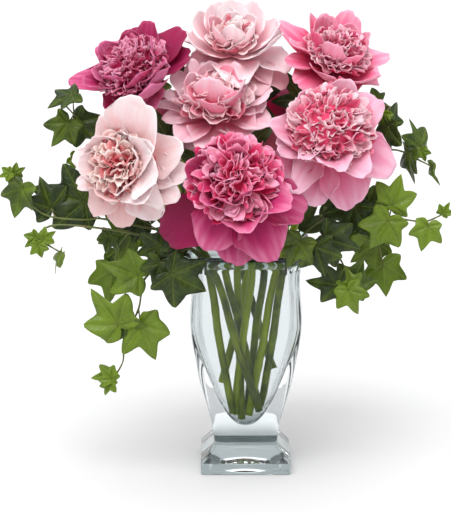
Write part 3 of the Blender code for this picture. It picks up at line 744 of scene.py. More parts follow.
def petal_sheets(shape, petals, rows, columns):
    """Adds curved sheets to a shape, one a petal, each of rows x columns points.

    u runs from base to tip and v across. The reach along the midrib is u, drawn in at the sides
    of the tip by round*|v|^2.4 and by waves that fray it. The midrib turns from the along
    direction towards inward by bend*reach^curl. Across it the sheet is an arc of cup radians,
    whose width opens from the claw to the full width, and near the margin it lifts and falls by
    ruffle times sines of u and of v.
    """
    places = {key: petals[key][:, None, None, :] for key in ("base", "along", "inward")}
    count = len(petals["base"])
    field = {key: np.broadcast_to(value, count)[:, None, None] for key, value in petals.items()
             if key not in places}
    u = np.linspace(0, 1, rows)[:, None]
    v = np.linspace(-1, 1, columns)
    phase = field["phase"]
    fray = 0.5 * np.sin(4.3 * v + phase) + 0.3 * np.sin(9.1 * v + 2.3 * phase) \
        + 0.2 * np.sin(17 * v + 3.7 * phase)
    margin = 1 - field["round"] * np.abs(v) ** 2.4 + field["fray"] * fray
    reach = u * (1 - u**2 * (1 - margin))
    turn = field["bend"] * reach ** field["curl"]
    length = reach * field["length"]
    step = np.diff(length, axis=1)
    between = 0.5 * (turn[:, 1:] + turn[:, :-1])
    forward = np.pad(np.cumsum(np.cos(between) * step, axis=1), ((0, 0), (1, 0), (0, 0)))
    rise = np.pad(np.cumsum(np.sin(between) * step, axis=1), ((0, 0), (1, 0), (0, 0)))
    opened = field["claw"] + (1 - field["claw"]) * smooth(u / 0.72)
    closed_in = 1 - 0.16 * smooth((u - 0.75) / 0.3)
    across = v * field["width"] * opened * closed_in
    arc = field["cup"] / field["width"]
    side = np.sin(arc * across) / arc
    lift = (1 - np.cos(arc * across)) / arc
    wave = np.abs(v) ** 1.6 * np.sin(field["waves"] * u + phase + 1.9 * np.sign(v)) * u**1.3 \
        + 0.8 * u**4 * np.sin(field["waves"] * 0.62 * v + 2 * phase) \
        + 0.25 * u**3 * np.sin(field["waves"] * 1.9 * v + 3 * phase)
    lift = lift + field["ruffle"] * wave
    base, along, inward = places.values()
    sideways = np.cross(along, inward)
    cosine, sine = np.cos(turn)[..., None], np.sin(turn)[..., None]
    points = base + along * forward[..., None] + inward * rise[..., None] \
        + sideways * side[..., None] + (inward * cosine - along * sine) * lift[..., None]
    shape.add(points, stacked(0.5 + 0.5 * v, u), field["tone"])


def bloom_axes(bloom):
    """The bloom's right, up and facing directions, as rows."""
    facing = unit(np.asarray(bloom["faces"], float))
    up = unit(AXIS - facing[2] * facing)
    return np.stack([np.cross(up, facing), up, facing])


def from_heart(bloom, points):
    """Points in the vase's axes from the bloom's own, whose origin is its heart."""
    return np.asarray(bloom["heart"], float) + points @ bloom_axes(bloom)


def petal_axes(azimuth, level, rise, roll):
    """Petals' directions in plan, along themselves and inwards, in the bloom's own axes.

    along has the shares level outwards and rise up the axis. inward is square to it, towards the
    axis, and then turned about it by roll.
    """
    level, rise, roll = (np.reshape(x, (-1, 1)) for x in (level, rise, roll))
    out = stacked(np.cos(azimuth), np.sin(azimuth), 0.0)
    along = out * level + AXIS * rise
    inward = AXIS * level - out * rise
    inward = inward * np.cos(roll) + np.cross(along, inward) * np.sin(roll)
    return out, along, inward


def placed(bloom, base, along, inward):
    """Petals' bases and directions taken from the bloom's own axes to the vase's."""
    axes = bloom_axes(bloom)
    return dict(base=from_heart(bloom, base), along=along @ axes, inward=inward @ axes)


def spread_petals(bloom, azimuth, elevation, height, roll):
    """Bases and directions of broad petals on a small circle round the heart, angles in radians."""
    out, along, inward = petal_axes(azimuth, np.cos(elevation), np.sin(elevation), roll)
    base = out * CLAW_CIRCLE + AXIS * np.reshape(height, (-1, 1))
    return placed(bloom, base, along, inward)


def broad_petals(bloom, chance, ruffle):
    """The guard petals: the bloom's rings and its single features, as one table."""
    rows = []
    for count, first, elevation, bend, length, width, height in bloom["rings"]:
        for k in range(count):
            rows.append((
                first + 360 * k / count + chance.uniform(-9, 9), elevation + chance.uniform(-7, 7),
                bend + chance.uniform(-10, 10), length * chance.uniform(0.92, 1.06),
                width * chance.uniform(0.88, 1.1), height, chance.uniform(-14, 14),
                chance.uniform(0.1, 0.8),
            ))
    rows.extend(bloom["features"])
    azimuth, elevation, bend, length, width, height, roll, tone = np.array(rows, float).T
    count = len(rows)
    petals = spread_petals(bloom, np.radians(azimuth), np.radians(elevation), height,
                           np.radians(roll))
    petals.update(
        length=length, width=width, bend=np.radians(bend), curl=chance.uniform(1.2, 2.0, count),
        cup=chance.uniform(0.45, 0.8, count) + 0.35 * smooth((elevation - 10) / 40),
        round=chance.uniform(0.3, 0.46, count), fray=chance.uniform(0.02, 0.05, count),
        ruffle=ruffle * chance.uniform(1.2, 2.8, count), waves=chance.uniform(5, 9, count),
        claw=chance.uniform(0.3, 0.4, count), phase=chance.uniform(0, 6.28, count), tone=tone,
    )
    return petals


def crown_petals(bloom, chance, ruffle):
    """Crowded inner petals that stand out from the middle of the crown to its surface.

    Their directions follow a golden-angle spiral over the dome, from its top to a little below
    its widest place. Each is turned at random about its own direction, the more the nearer it
    is to the top, and the outer ones curl inwards over the rest.
    """
    radius, height = bloom["crown"]
    count = bloom["count"]
    share = (np.arange(count) + 0.5) / count
    polar = np.radians(95) * share**0.56 + chance.uniform(-0.05, 0.05, count)
    azimuth = GOLDEN_ANGLE * np.arange(count) + chance.uniform(-0.12, 0.12, count)
    sine, cosine = np.sin(polar), np.cos(polar)
    roll = chance.normal(0, 1, count) * (0.25 + 0.9 * smooth((0.95 - share) / 0.6))
    _, along, inward = petal_axes(azimuth, sine, cosine, roll)
    middle = CROWN_MIDDLE * height
    reach = 1 / np.sqrt((sine / radius) ** 2 + (cosine / (height - middle)) ** 2)
    start = 0.3 * reach
    outer = smooth((share - 0.55) / 0.45)
    size = bloom["width"] * (1 + 0.55 * outer) * chance.uniform(0.75, 1.25, count)
    fringe = bloom["fringe"]
    petals = placed(bloom, AXIS * middle + along * start[:, None], along, inward)
    petals.update(
        length=(reach - start) * (1.04 + 0.14 * outer) * chance.uniform(0.88, 1.12, count),
        width=size, bend=0.15 + 0.75 * outer + chance.uniform(-0.35, 0.5, count) * (1 - outer),
        curl=chance.uniform(1.4, 2.4, count), cup=chance.uniform(0.5, 1.2, count) + 0.2 * outer,
        round=chance.uniform(0.16, 0.4, count), fray=fringe * chance.uniform(0.04, 0.12, count),
        ruffle=ruffle * (0.6 + fringe) * chance.uniform(0.7, 1.7, count),
        waves=chance.uniform(6, 11, count), claw=chance.uniform(0.4, 0.6, count),
        phase=chance.uniform(0, 6.28, count), tone=chance.uniform(0, 1, count),
    )
    return petals


def heart_core(shape, bloom):
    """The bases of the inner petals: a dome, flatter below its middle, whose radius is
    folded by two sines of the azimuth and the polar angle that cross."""
    radius, height = bloom["crown"]
    share = bloom["inner"]
    polar = np.linspace(1e-3, math.pi - 1e-3, 26)[:, None]
    azimuth = around(40)
    fold = 1 + 0.07 * np.sin(7 * azimuth + 3 * polar) * np.sin(polar) \
        + 0.05 * np.sin(13 * azimuth - 7 * polar + bloom["seed"]) * np.sin(polar)
    out = share * radius * np.sin(polar) * fold
    middle = CROWN_MIDDLE * height
    flatter = np.where(polar < math.pi / 2, 1, 0.55)
    level = middle + share * (height - middle) * np.cos(polar) * flatter
    points = from_heart(bloom, stacked(out * np.cos(azimuth), out * np.sin(azimuth), level))
    # The dome takes the deep colour of the petal bases. Besides standing for the crowded bases, it
    # is painted shade that fills the gaps between the petals.
    flat = stacked(azimuth / math.tau, 0.02 + 0.3 * np.sin(polar))
    shape.add(points[::-1], flat[::-1], 0.3, closed=True)


def petal_material(name, colours, sheen, gloss):
    """Petal tissue: deep at the claw, paler to the margin, with fine veins along it."""
    deep, body, pale = colours
    n = Nodes(name)
    x, y = n.pattern()
    tone = n.tone()
    side = abs(x * 2 - 1)
    broad = n.noise(n.vector(x * 7 + tone * 31, y * 1.3, tone * 17), 1.0, 2.0)
    veins = n.noise(n.vector(x * 44 + (x - 0.5) * y * 20, y * 2.4, tone * 9), 1.0, 3.0)
    patches = n.noise(n.place(), 38.0, 2.0)
    grown = n.ease(y + (broad - 0.5) * 0.5 + (tone - 0.5) * 0.3, 0.06, 0.76)
    rim = n.ease(y + side * 0.16 + (broad - 0.5) * 0.9 + (veins - 0.5) * 0.5 + (tone - 0.5) * 0.5,
                 0.56, 1.16)
    colour = n.mix(grown, deep, body)
    colour = n.mix(rim * 0.8, colour, pale)
    colour = n.mix(n.ease(veins, 0.54, 0.74) * 0.28 * (1.1 - rim), colour, deep)
    # A petal's tone makes it paler or deeper as a whole. On the broad petals whose tones are listed,
    # this is partly painted light and painted shade.
    colour = n.mix(n.ease(tone, 0.5, 1.0) * 0.55 * grown, colour, pale)
    colour = n.mix(n.ease(1 - tone, 0.55, 1.0) * 0.78, colour, deep)
    colour = n.mix(n.ease(patches, 0.56, 0.76) * 0.3, colour, deep)
    height = veins * 0.7 + broad * 0.8
    return n.surface(
        Base_Color=colour, Roughness=gloss + (broad - 0.5) * 0.2,
        Normal=n.bump(height, 0.5, 0.0013), Subsurface_Weight=0.2,
        Subsurface_Radius=(1.0, 0.4, 0.45), Subsurface_Scale=0.003, Sheen_Weight=sheen,
        Sheen_Roughness=0.4, Specular_IOR_Level=0.22,
    )


# Stems, calyces and ivy


def stem_route(name):
    """The stem's middle line from its cut end, past the mouth, to the calyx."""
    bloom = BLOOMS[name]
    mouth, foot = (np.array(point, float) for point in STEMS[name])
    heart, facing = np.array(bloom["heart"], float), bloom_axes(bloom)[2]
    neck = heart - facing * NECK_START
    bend = through([foot, foot + 0.5 * (mouth - foot), mouth, neck], 34)
    return np.vstack([bend, heart - facing * STEM_TOP])


def stem_tube(shape, route, chance):
    """A round stem that thins by a tenth along it and swells by bell curves at two leaf joints."""
    along = np.linspace(0, 1, len(route))
    joints = chance.uniform(0.15, 0.8, 2)
    swelling = sum(np.exp(-(((along - joint) / 0.012) ** 2)) for joint in joints)
    radius = STEM_RADIUS * (1.0 - 0.1 * along + 0.08 * swelling)
    rings, share, side = tube(route, radius, (1, 0, 0), sides=14)
    flat = stacked(np.sin(math.pi * side), share)
    shape.add(rings, flat, chance.uniform(0, 1), closed=True)


def calyx_sheets(shape, bloom, chance):
    """Five sepals of unequal length that hold the guard petals, round the stem's green end."""
    count = SEPALS
    azimuth = around(count) + chance.uniform(0, 6)
    petals = spread_petals(bloom, azimuth, SEPAL_ELEVATION, SEPAL_HEIGHT, 0.0)
    petals.update(
        length=chance.uniform(17, 27, count), width=chance.uniform(7, 10, count), bend=0.1,
        curl=1.5, cup=0.5, round=0.75, fray=0.02, ruffle=0.5, waves=5.0, claw=0.6,
        phase=chance.uniform(0, 6, count), tone=chance.uniform(0, 1, count),
    )
    petal_sheets(shape, petals, *SEPAL_GRID)


def calyx_cup(shape, bloom):
    """The swollen end of the stem under the sepals: a lofted cup closed at both ends."""
    behind, radius = np.array(CALYX_CUP).T[..., None]
    angle = around(20)
    points = from_heart(bloom, stacked(radius * np.cos(angle), radius * np.sin(angle), -behind))
    shape.add(points, stacked(angle / math.tau, 0.2), 0.5, closed=True)


def leaf_margin(angle):
    """Reach of a five-lobed leaf at angles from its midrib: it falls from each lobe tip to the
    next notch as the power 1.3 of the share left, so that tips are pointed and notches round."""
    knots = np.array(sorted(LOBE_TIPS + LOBE_NOTCHES))
    degrees = np.degrees(np.abs(angle))
    k = np.clip(np.searchsorted(knots[:, 0], degrees, "right") - 1, 0, len(knots) - 2)
    t = (degrees - knots[k, 0]) / (knots[k + 1, 0] - knots[k, 0])
    first, second = knots[k, 1], knots[k + 1, 1]
    falling = first > second
    high, low = np.where(falling, first, second), np.where(falling, second, first)
    from_tip = np.where(falling, t, 1 - t)
    return low + (high - low) * (1 - from_tip) ** 1.3


def from_leaf(points, base, heading, lean, turn):
    """Points in the vase's axes from a leaf's own: midrib +X, face +Z, its face to -Y."""
    h, k, t = np.radians([-heading, -lean, 90 + turn])
    about_y = np.array([[np.cos(h), 0, np.sin(h)], [0, 1, 0], [-np.sin(h), 0, np.cos(h)]])
    about_z = np.array([[np.cos(k), -np.sin(k), 0], [np.sin(k), np.cos(k), 0], [0, 0, 1]])
    about_x = np.array([[1, 0, 0], [0, np.cos(t), -np.sin(t)], [0, np.sin(t), np.cos(t)]])
    return np.asarray(base, float) + points @ (about_y @ about_z @ about_x).T


def leaf_blade(shape, leaf, chance, rings=11, spokes=72):
    """One leaf in polar form about its base: rings of spokes out to the margin.

    The blade folds up along the midrib by the power 1.2 of the distance across, droops by the
    square of the reach, arches between its veins by the smooth step of the angle to the nearest,
    and waves towards its margin by a sine of the angle.
    """
    _, *seat, length, tone = leaf
    angle = np.linspace(-math.pi, math.pi, spokes, endpoint=False)
    share = np.linspace(0, 1, rings)[:, None] ** 0.85 * (1 - 1e-3) + 1e-3
    wobble = 1 + 0.04 * np.sin(5 * angle + chance.uniform(0, 6)) \
        + 0.025 * np.sin(9 * angle + chance.uniform(0, 6))
    fullness = chance.uniform(0, 0.35)
    margin = leaf_margin(angle)
    margin = margin + fullness * (0.72 * (1 - np.abs(angle) / math.pi) ** 0.5 - margin).clip(0)
    reach = margin * share * length * wobble
    x, y = reach * np.cos(angle), reach * np.sin(angle)
    ribs = np.radians([degrees for degrees, _ in MAIN_VEINS])
    nearest = np.min(np.abs(np.abs(angle)[:, None] - ribs), axis=-1)
    arch = 0.08 * length * share * smooth(nearest / 0.3) * (1 - share**3)
    droop = chance.uniform(0.12, 0.3) * reach**2 / length
    fold = chance.uniform(0.08, 0.34) * np.abs(y) ** 1.2 * length**-0.2
    wave = 0.07 * length * share**2 * np.sin(4 * angle + chance.uniform(0, 6))
    points = from_leaf(stacked(x, y, fold + arch - droop + wave), *seat)
    shape.add(points, stacked(x, y) / length, tone, closed=True)


def peony_leaf(shape, leaf, chance, rows=16, columns=9):
    """Three pointed leaflets that spread from one base.

    Each is as wide across as a power of the sine of its length's share, folds up from its midrib
    by the distance across, droops by the square of its length's share and waves at its margin.
    """
    _, *seat, length = leaf
    u = np.linspace(0.004, 0.996, rows)[:, None]
    v = np.linspace(-1, 1, columns)
    for angle, share, width in LEAFLETS:
        reach = share * length
        along = u * reach
        across = v * width * length * np.sin(math.pi * u**0.8) ** 0.85
        side = math.copysign(1, angle) if angle else 0
        bow = 0.1 * side * reach * u**2
        level = chance.uniform(0.25, 0.6) * np.abs(across) \
            - chance.uniform(0.05, 0.22) * reach * u**2 \
            + 0.02 * length * v * np.sin(9 * u + chance.uniform(0, 6)) * np.sin(math.pi * u)
        cosine, sine = math.cos(math.radians(angle)), math.sin(math.radians(angle))
        x = along * cosine - (across + bow) * sine
        y = along * sine + (across + bow) * cosine
        points = from_leaf(stacked(x, y, level), *seat)
        shape.add(points, stacked(0.5 + 0.5 * v, u), chance.uniform(0, 1))


def vine_tube(shape, knots, radius, chance, tone, samples, sides=8):
    """A vine or a stalk: a tube through its knots, which thins by four tenths on its way and is
    faintly knotted by a sine."""
    along = np.linspace(0, 1, samples)
    thin = radius * (1 - 0.4 * along) * (1 + 0.1 * np.sin(60 * along + chance.uniform(0, 6)))
    rings, share, side = tube(through(knots, samples), thin, (0, 1, 0), sides)
    shape.add(rings, stacked(side, share * samples), tone, closed=True)


def stalk_knots(start, base, heading, lean, turn, length):
    """A leaf stalk's route: it sags from its start to the leaf's base and runs on under it."""
    start, end = np.array(start, float), np.array(base, float)
    sag = 0.5 * (start + end) - AXIS * STALK_SAG * np.linalg.norm(end - start)
    seat = np.array([LEAF_SEAT * length, 0, -SEAT_DEPTH])
    return [start, sag, end, from_leaf(seat, base, heading, lean, turn)]


def sprig_shapes(sprig, chance):
    """A vine with its stalks, and its leaves as a second shape."""
    wood, blades = Shape(), Shape()
    knots = sprig["vine"]
    vine_tube(wood, knots, VINE_RADIUS, chance, 0.2, 8 * len(knots))
    for leaf in sprig["leaves"]:
        number, *seat, tone = leaf
        stalk = stalk_knots(knots[number], *seat)
        vine_tube(wood, stalk, STALK_RADIUS, chance, tone, 14, sides=6)
        leaf_blade(blades, leaf, chance)
    return wood, blades


def stem_shapes(name, chance):
    """A peony stem with its leaf stalks, and its leaves as a second shape."""
    wood, blades = Shape(), Shape()
    route = stem_route(name)
    stem_tube(wood, route, chance)
    for leaf in STEM_LEAVES[name]:
        height, *seat = leaf
        start = [np.interp(height, route[:, 2], route[:, k]) for k in range(3)]
        vine_tube(wood, stalk_knots(start, *seat), PEONY_STALK_RADIUS, chance, 0.3, 14)
        peony_leaf(blades, leaf, chance)
    return wood, blades


def leaf_material(young, old, gloss):
    """Ivy leaf: five pale main veins from the base, side veins off them, mottled green between."""
    n = Nodes("ivy_leaf")
    x, y = n.pattern()
    y = abs(y)
    tone = n.tone()
    here = n.place()
    broad = n.noise(here, 55.0, 2.0)
    fine = n.noise(here, 420.0, 3.0)
    nearest, reach = None, None
    for degrees, _ in MAIN_VEINS:
        along_x, along_y = math.cos(math.radians(degrees)), math.sin(math.radians(degrees))
        along = x * along_x + y * along_y
        off = abs(y * along_x - x * along_y) + n.ease(0.02 - along, 0.0, 0.03)
        nearest = off if nearest is None else n.math("MINIMUM", nearest, off)
        side = n.ease(0.5 + 0.5 * n.math("SINE", along * 42 - off * 40), 0.86, 1.0)
        side = side * n.ease(0.24 - off, 0.0, 0.2) * n.ease(off * 12, 0.05, 0.4)
        reach = side if reach is None else n.math("MAXIMUM", reach, side)
    vein = n.ease(0.016 - nearest, 0.0, 0.012)
    glow = n.ease(0.12 - nearest, 0.0, 0.12)
    # The tone mixes old dark green towards young bright green and strengthens the pale veins. It is
    # partly the leaf's age and partly painted light and shade.
    green = n.mix(n.ease(tone + (broad - 0.5) * 1.1, 0.0, 1.0), old, young)
    lit = tuple(0.6 * a + 0.4 * b for a, b in zip(young, (0.46, 0.52, 0.14)))
    age_and_light = 0.35 + tone * 0.65
    green = n.mix(glow * 0.3 * age_and_light, green, young)
    green = n.mix(reach * 0.26 * age_and_light, green, lit)
    green = n.mix(vein * 0.75 * age_and_light, green, lit)
    green = n.mix(n.ease(fine, 0.55, 0.8) * 0.35, green, old)
    height = glow * -0.5 + broad * 0.6 + fine * 0.12 - vein * 0.5 - reach * 0.3
    return n.surface(
        Base_Color=green, Roughness=gloss + (fine - 0.5) * 0.18 - tone * 0.03,
        Normal=n.bump(height, 0.7, 0.002), Subsurface_Weight=0.08,
        Subsurface_Radius=(0.5, 1.0, 0.2), Subsurface_Scale=0.002, Specular_IOR_Level=0.28,
    )


def peony_leaf_material(gloss):
    """Peony leaflets: dark shining green, with a pale midrib and side veins that run forwards."""
    n = Nodes("peony_leaf")
    x, y = n.pattern()
    side = abs(x * 2 - 1)
    tone = n.tone()
    broad = n.noise(n.place(), 60.0, 2.0)
    midrib = n.ease(0.1 - side, 0.0, 0.07)
    veins = n.ease(0.5 + 0.5 * n.math("SINE", (y * 9 - side * 1.6) * math.tau), 0.86, 1.0)
    green = n.mix(n.ease(broad + tone * 0.3, 0.3, 0.9), (0.012, 0.026, 0.005), (0.05, 0.085, 0.012))
    green = n.mix(veins * 0.25, green, (0.1, 0.14, 0.03))
    green = n.mix(midrib * 0.6, green, (0.17, 0.2, 0.06))
    return n.surface(Base_Color=green, Roughness=gloss + (broad - 0.5) * 0.15,
                     Normal=n.bump(broad * 0.4 - veins * 0.3 - midrib * 0.5, 0.5, 0.0012),
                     Specular_IOR_Level=0.35)


def vine_material():
    """Young vine: green-brown skin with lengthwise streaks."""
    n = Nodes("ivy_vine")
    x, y = n.pattern()
    here = n.place()
    streaks = n.noise(n.vector(x * 9, y * 0.25, n.tone()), 1.0, 3.0)
    knots = n.noise(here, 160.0, 2.0)
    colour = n.mix(n.ease(streaks, 0.3, 0.7), (0.06, 0.08, 0.013), (0.14, 0.17, 0.03))
    colour = n.mix(n.ease(knots, 0.55, 0.75) * 0.7, colour, (0.17, 0.08, 0.035))
    return n.surface(Base_Color=colour, Roughness=0.45 + (streaks - 0.5) * 0.2,
                     Normal=n.bump(streaks * 0.6 + knots, 0.5, 0.0006))


def stem_material(dark, bright):
    """Peony stem: bright green skin with fine ribs along it and duller patches."""
    n = Nodes("peony_stem")
    x, y = n.pattern()
    tone = n.tone()
    ribs = n.noise(n.vector(x * 12, y * 5, tone * 20), 1.0, 3.0)
    patches = n.noise(n.vector(x * 1.5, y * 9, tone * 33), 1.0, 2.0)
    colour = n.mix(n.ease(patches + tone * 0.3, 0.35, 0.85), dark, bright)
    colour = n.mix(n.ease(ribs, 0.52, 0.75) * 0.5, colour, (0.5, 0.58, 0.06))
    return n.surface(Base_Color=colour, Roughness=0.38 + (ribs - 0.5) * 0.2,
                     Normal=n.bump(ribs, 0.4, 0.0007), Subsurface_Weight=0.1,
                     Subsurface_Radius=(0.6, 1.0, 0.3), Subsurface_Scale=0.003)


def calyx_material():
    """Sepal tissue: green with lengthwise veins, flushed red at its margin."""
    n = Nodes("peony_calyx")
    x, y = n.pattern()
    veins = n.noise(n.vector(x * 20, y * 2.5, n.tone() * 8), 1.0, 3.0)
    edge = n.ease(abs(x * 2 - 1) + y * 0.3, 0.7, 1.2)
    colour = n.mix(n.ease(veins, 0.35, 0.7), (0.1, 0.2, 0.035), (0.26, 0.4, 0.1))
    colour = n.mix(edge * 0.5, colour, (0.36, 0.12, 0.1))
    return n.surface(Base_Color=colour, Roughness=0.5 + (veins - 0.5) * 0.2,
                     Normal=n.bump(veins, 0.5, 0.0008))


# The vase and its water


def square_rings(levels, corner_points=9, side_points=4):
    """Rounded squares at each level, (levels, points, 3): an arc and a straight side, four times
    turned by a quarter."""
    height, half, corner = levels.T[..., None]
    arc = np.linspace(0, math.pi / 2, corner_points)
    share = np.linspace(0, 1, side_points + 2)[1:-1]
    middle = half - corner
    x = np.concatenate([middle + corner * np.cos(arc), middle * (1 - 2 * share)], axis=1)
    y = np.concatenate([middle + corner * np.sin(arc), half + 0 * share], axis=1)
    turns = [math.radians(90 * quarter) for quarter in range(4)]
    return np.concatenate([stacked(x * math.cos(turn) - y * math.sin(turn),
                                   x * math.sin(turn) + y * math.cos(turn), height)
                           for turn in turns], axis=1)


def profile(*stretches):
    """The levels of several stretches, each a smooth curve, joined end to end."""
    sampled = [through(knots, samples) for knots, samples in stretches]
    return np.vstack([sampled[0]] + [levels[1:] for levels in sampled[1:]])


def disc_levels(height, half, corner, inward):
    """Levels that carry a flat square in even steps from its middle to its edge, or back."""
    share = np.linspace(0.002, 1, 7)[:-1]
    levels = stacked(height, half * share, corner * share)
    return levels[::-1] if inward else levels


def vase_rings():
    """Under the foot a round hollow, whose depth falls by the square of the radius, then the flat
    that it stands on, the profile and the cavity's floor."""
    radius, depth = FOOT_HOLLOW
    share = np.linspace(0.01, 1, 14)
    hollow = stacked(depth * (1 - share**2), radius * share, radius * share * 0.999)
    levels = np.vstack([
        hollow,
        [(0.0, radius + 1.2, radius + 1.1)],
        profile((FOOT_SIDE, 10), (FOOT_EDGE, 5), (SHOULDER, 14), (BODY_SIDE, 90), (LIP, 12),
                (CAVITY, CAVITY_LEVELS)),
        disc_levels(*CAVITY[-1], inward=True),
    ])
    return square_rings(levels)


def water_rings(level, meniscus=0.9, overlap=0.12):
    """The water: the cavity's own levels up to the surface, which climbs the glass by an
    exponential of the distance from it."""
    wall = profile((CAVITY, CAVITY_LEVELS))[::-1]
    wall = wall[wall[:, 0] < level + meniscus - 0.2]
    wall = wall + np.array([0, overlap, overlap])
    wall[0, 0] -= overlap
    half, corner = wall[-1, 1:]
    away = np.array([0.0, 0.6, 1.4, 2.4, 3.8, 6.0])
    top = stacked(level + meniscus * np.exp(-away / 1.3), half - away, corner - 0.7 * away)
    levels = np.vstack([disc_levels(wall[0, 0], *wall[0, 1:], inward=False), wall, top,
                        disc_levels(level, *top[-1, 1:], inward=True)])
    return square_rings(levels)


def glass_material(tint, roughness, ior):
    """Clear glass with the waves of pressing. Its thick foot is deeper, partly the glass's own
    colour through its thickness and partly painted reflection of the dark stems and shade seen in
    it. The green at the lip is a painted reflection of the dark foliage and water seen there.
    """
    n = Nodes("clear_glass")
    here = n.place()
    waves = n.noise(here, 14.0, 1.0)
    height = n.parts(here)[2]
    # Deeper in the foot: partly the thick glass's own colour, partly painted reflection of the dark
    # stems and shade.
    thick = 1 - n.ease(height, 0.01, 0.082)
    # Green at the lip: painted reflection of the dark foliage and water.
    lip = n.ease(height, 0.207, 0.222)
    deep = tuple(np.multiply(tint, (0.58, 0.655, 0.665)))
    green = tuple(np.multiply(tint, (0.66, 0.82, 0.77)))
    colour = n.mix(lip, n.mix(thick, tuple(tint), deep), green)
    return n.surface(Base_Color=colour, Roughness=roughness, IOR=ior, Transmission_Weight=1.0,
                     Specular_Tint=(0.34, 0.36, 0.37), Normal=n.bump(waves, 0.12, 0.002))


def water_material(tint):
    """Still water: clear, with a ripple too faint to see but in its reflections."""
    n = Nodes("water")
    ripple = n.noise(n.place(), 30.0, 1.0)
    return n.surface(Base_Color=tuple(tint), Roughness=0.0, IOR=1.33, Transmission_Weight=1.0,
                     Specular_Tint=(0.15, 0.15, 0.15), Normal=n.bump(ripple, 0.05, 0.001))


# What a user would change

COLOUR = dict(subtype="COLOR", min=0, max=1)
FACTOR = dict(subtype="FACTOR", min=0, max=1)


class PeonyGlass(bpy.types.PropertyGroup):
    """The vase and its water."""
    tint: FloatVectorProperty(name="Glass tint", description="Colour that the glass lends to light",
                              default=(0.95, 0.97, 0.972), **COLOUR)
    roughness: FloatProperty(name="Roughness", description="Roughness of the glass",
                             default=0.0, **FACTOR)
    ior: FloatProperty(name="Index", description="Refractive index of the glass",
                       default=1.5, min=1.3, max=1.8)
    water_level: FloatProperty(name="Water level", description="Height of the water's surface",
                               default=0.212, min=0.1, max=0.22, unit="LENGTH")
    water_tint: FloatVectorProperty(name="Water tint", description="Colour of the water",
                                    default=(0.79, 0.81, 0.815), **COLOUR)


class PeonyPetals(bpy.types.PropertyGroup):
    """The blooms."""
    thickness: FloatProperty(name="Thickness", description="Thickness of a petal",
                             default=0.0004, min=0.0001, max=0.002, unit="LENGTH")
    ruffle: FloatProperty(name="Ruffle", description="How strongly petal margins wave",
                          default=1.0, min=0, max=3, subtype="FACTOR")
    sheen: FloatProperty(name="Sheen", description="Velvet sheen of the petals",
                         default=0.08, **FACTOR)
    gloss: FloatProperty(name="Roughness", description="Roughness of the petals",
                         default=0.52, **FACTOR)


class PeonyGreens(bpy.types.PropertyGroup):
    """Stems, calyces and ivy."""
    young: FloatVectorProperty(name="Young leaf", description="Colour of a young ivy leaf",
                               default=(0.138, 0.212, 0.013), **COLOUR)
    old: FloatVectorProperty(name="Old leaf", description="Colour of an old ivy leaf",
                             default=(0.013, 0.026, 0.004), **COLOUR)
    leaf_gloss: FloatProperty(name="Leaf roughness", description="Roughness of the ivy leaves",
                              default=0.36, **FACTOR)
    leaf_thickness: FloatProperty(name="Leaf thickness", description="Thickness of an ivy leaf",
                                  default=0.0005, min=0.0001, max=0.002, unit="LENGTH")
    stem_dark: FloatVectorProperty(name="Stem shade", description="Darker colour of the stems",
                                   default=(0.09, 0.14, 0.005), **COLOUR)
    stem_bright: FloatVectorProperty(name="Stem light", description="Lighter colour of the stems",
                                     default=(0.42, 0.56, 0.012), **COLOUR)
    seed: IntProperty(name="Seed", description="Changes the chance details of the greens",
                      default=4, min=0)


class PeonyStudio(bpy.types.PropertyGroup):
    """Floor, lights and camera."""
    floor: FloatVectorProperty(name="Floor", description="Colour of the floor",
                               default=(0.74, 0.74, 0.74), **COLOUR)
    key: FloatProperty(name="Key light", description="Strength of the main light",
                       default=2.0, min=0, max=20)
    fill: FloatProperty(name="Fill", description="Strength of the light from all round",
                        default=0.66, min=0, max=5)
    top: FloatProperty(name="Top light", description="Strength of the broad light overhead",
                       default=1.42, min=0, max=20)


class PeonySettings(bpy.types.PropertyGroup):
    """Everything that a user would change."""
    glass: PointerProperty(type=PeonyGlass)
    petals: PointerProperty(type=PeonyPetals)
    greens: PointerProperty(type=PeonyGreens)
    studio: PointerProperty(type=PeonyStudio)


# One operator for each kind of piece


class PEONIES_OT_vase(bpy.types.Operator):
    """Make the vase of thick pressed glass"""
    bl_idname = "peonies.vase"
    bl_label = "Vase"

    def execute(self, context):
        glass = context.scene.peonies.glass
        shape = Shape()
        shape.add(vase_rings(), closed=True)
        piece = shape.build("glass_vase", glass_material(glass.tint, glass.roughness, glass.ior))
        stand_for("vase", "vase_glass", merge_poles(piece))
        return {"FINISHED"}


class PEONIES_OT_water(bpy.types.Operator):
    """Fill the vase with water"""
    bl_idname = "peonies.water"
    bl_label = "Water"

    def execute(self, context):
        glass = context.scene.peonies.glass
        shape = Shape()
        shape.add(water_rings(glass.water_level / MM), closed=True)
        piece = shape.build("still_water", water_material(glass.water_tint))
        stand_for("water", "water", merge_poles(piece))
        return {"FINISHED"}


class PEONIES_OT_stems(bpy.types.Operator):
    """Make the peony stems"""
    bl_idname = "peonies.stems"
    bl_label = "Stems"

    def execute(self, context):
        greens = context.scene.peonies.greens
        green = stem_material(tuple(greens.stem_dark), tuple(greens.stem_bright))
        leaf_green = peony_leaf_material(greens.leaf_gloss)
        for number, name in enumerate(STEMS):
            chance = np.random.default_rng(100 * greens.seed + number)
            wood, blades = stem_shapes(name, chance)
            stem = merge_poles(wood.build(f"{name}_peony_stem", green))
            leaves = thicken(blades.build(f"{name}_stem_leaves", leaf_green),
                             greens.leaf_thickness)
            stand_for(f"{name}_stem", "stem", stem, leaves)
        return {"FINISHED"}


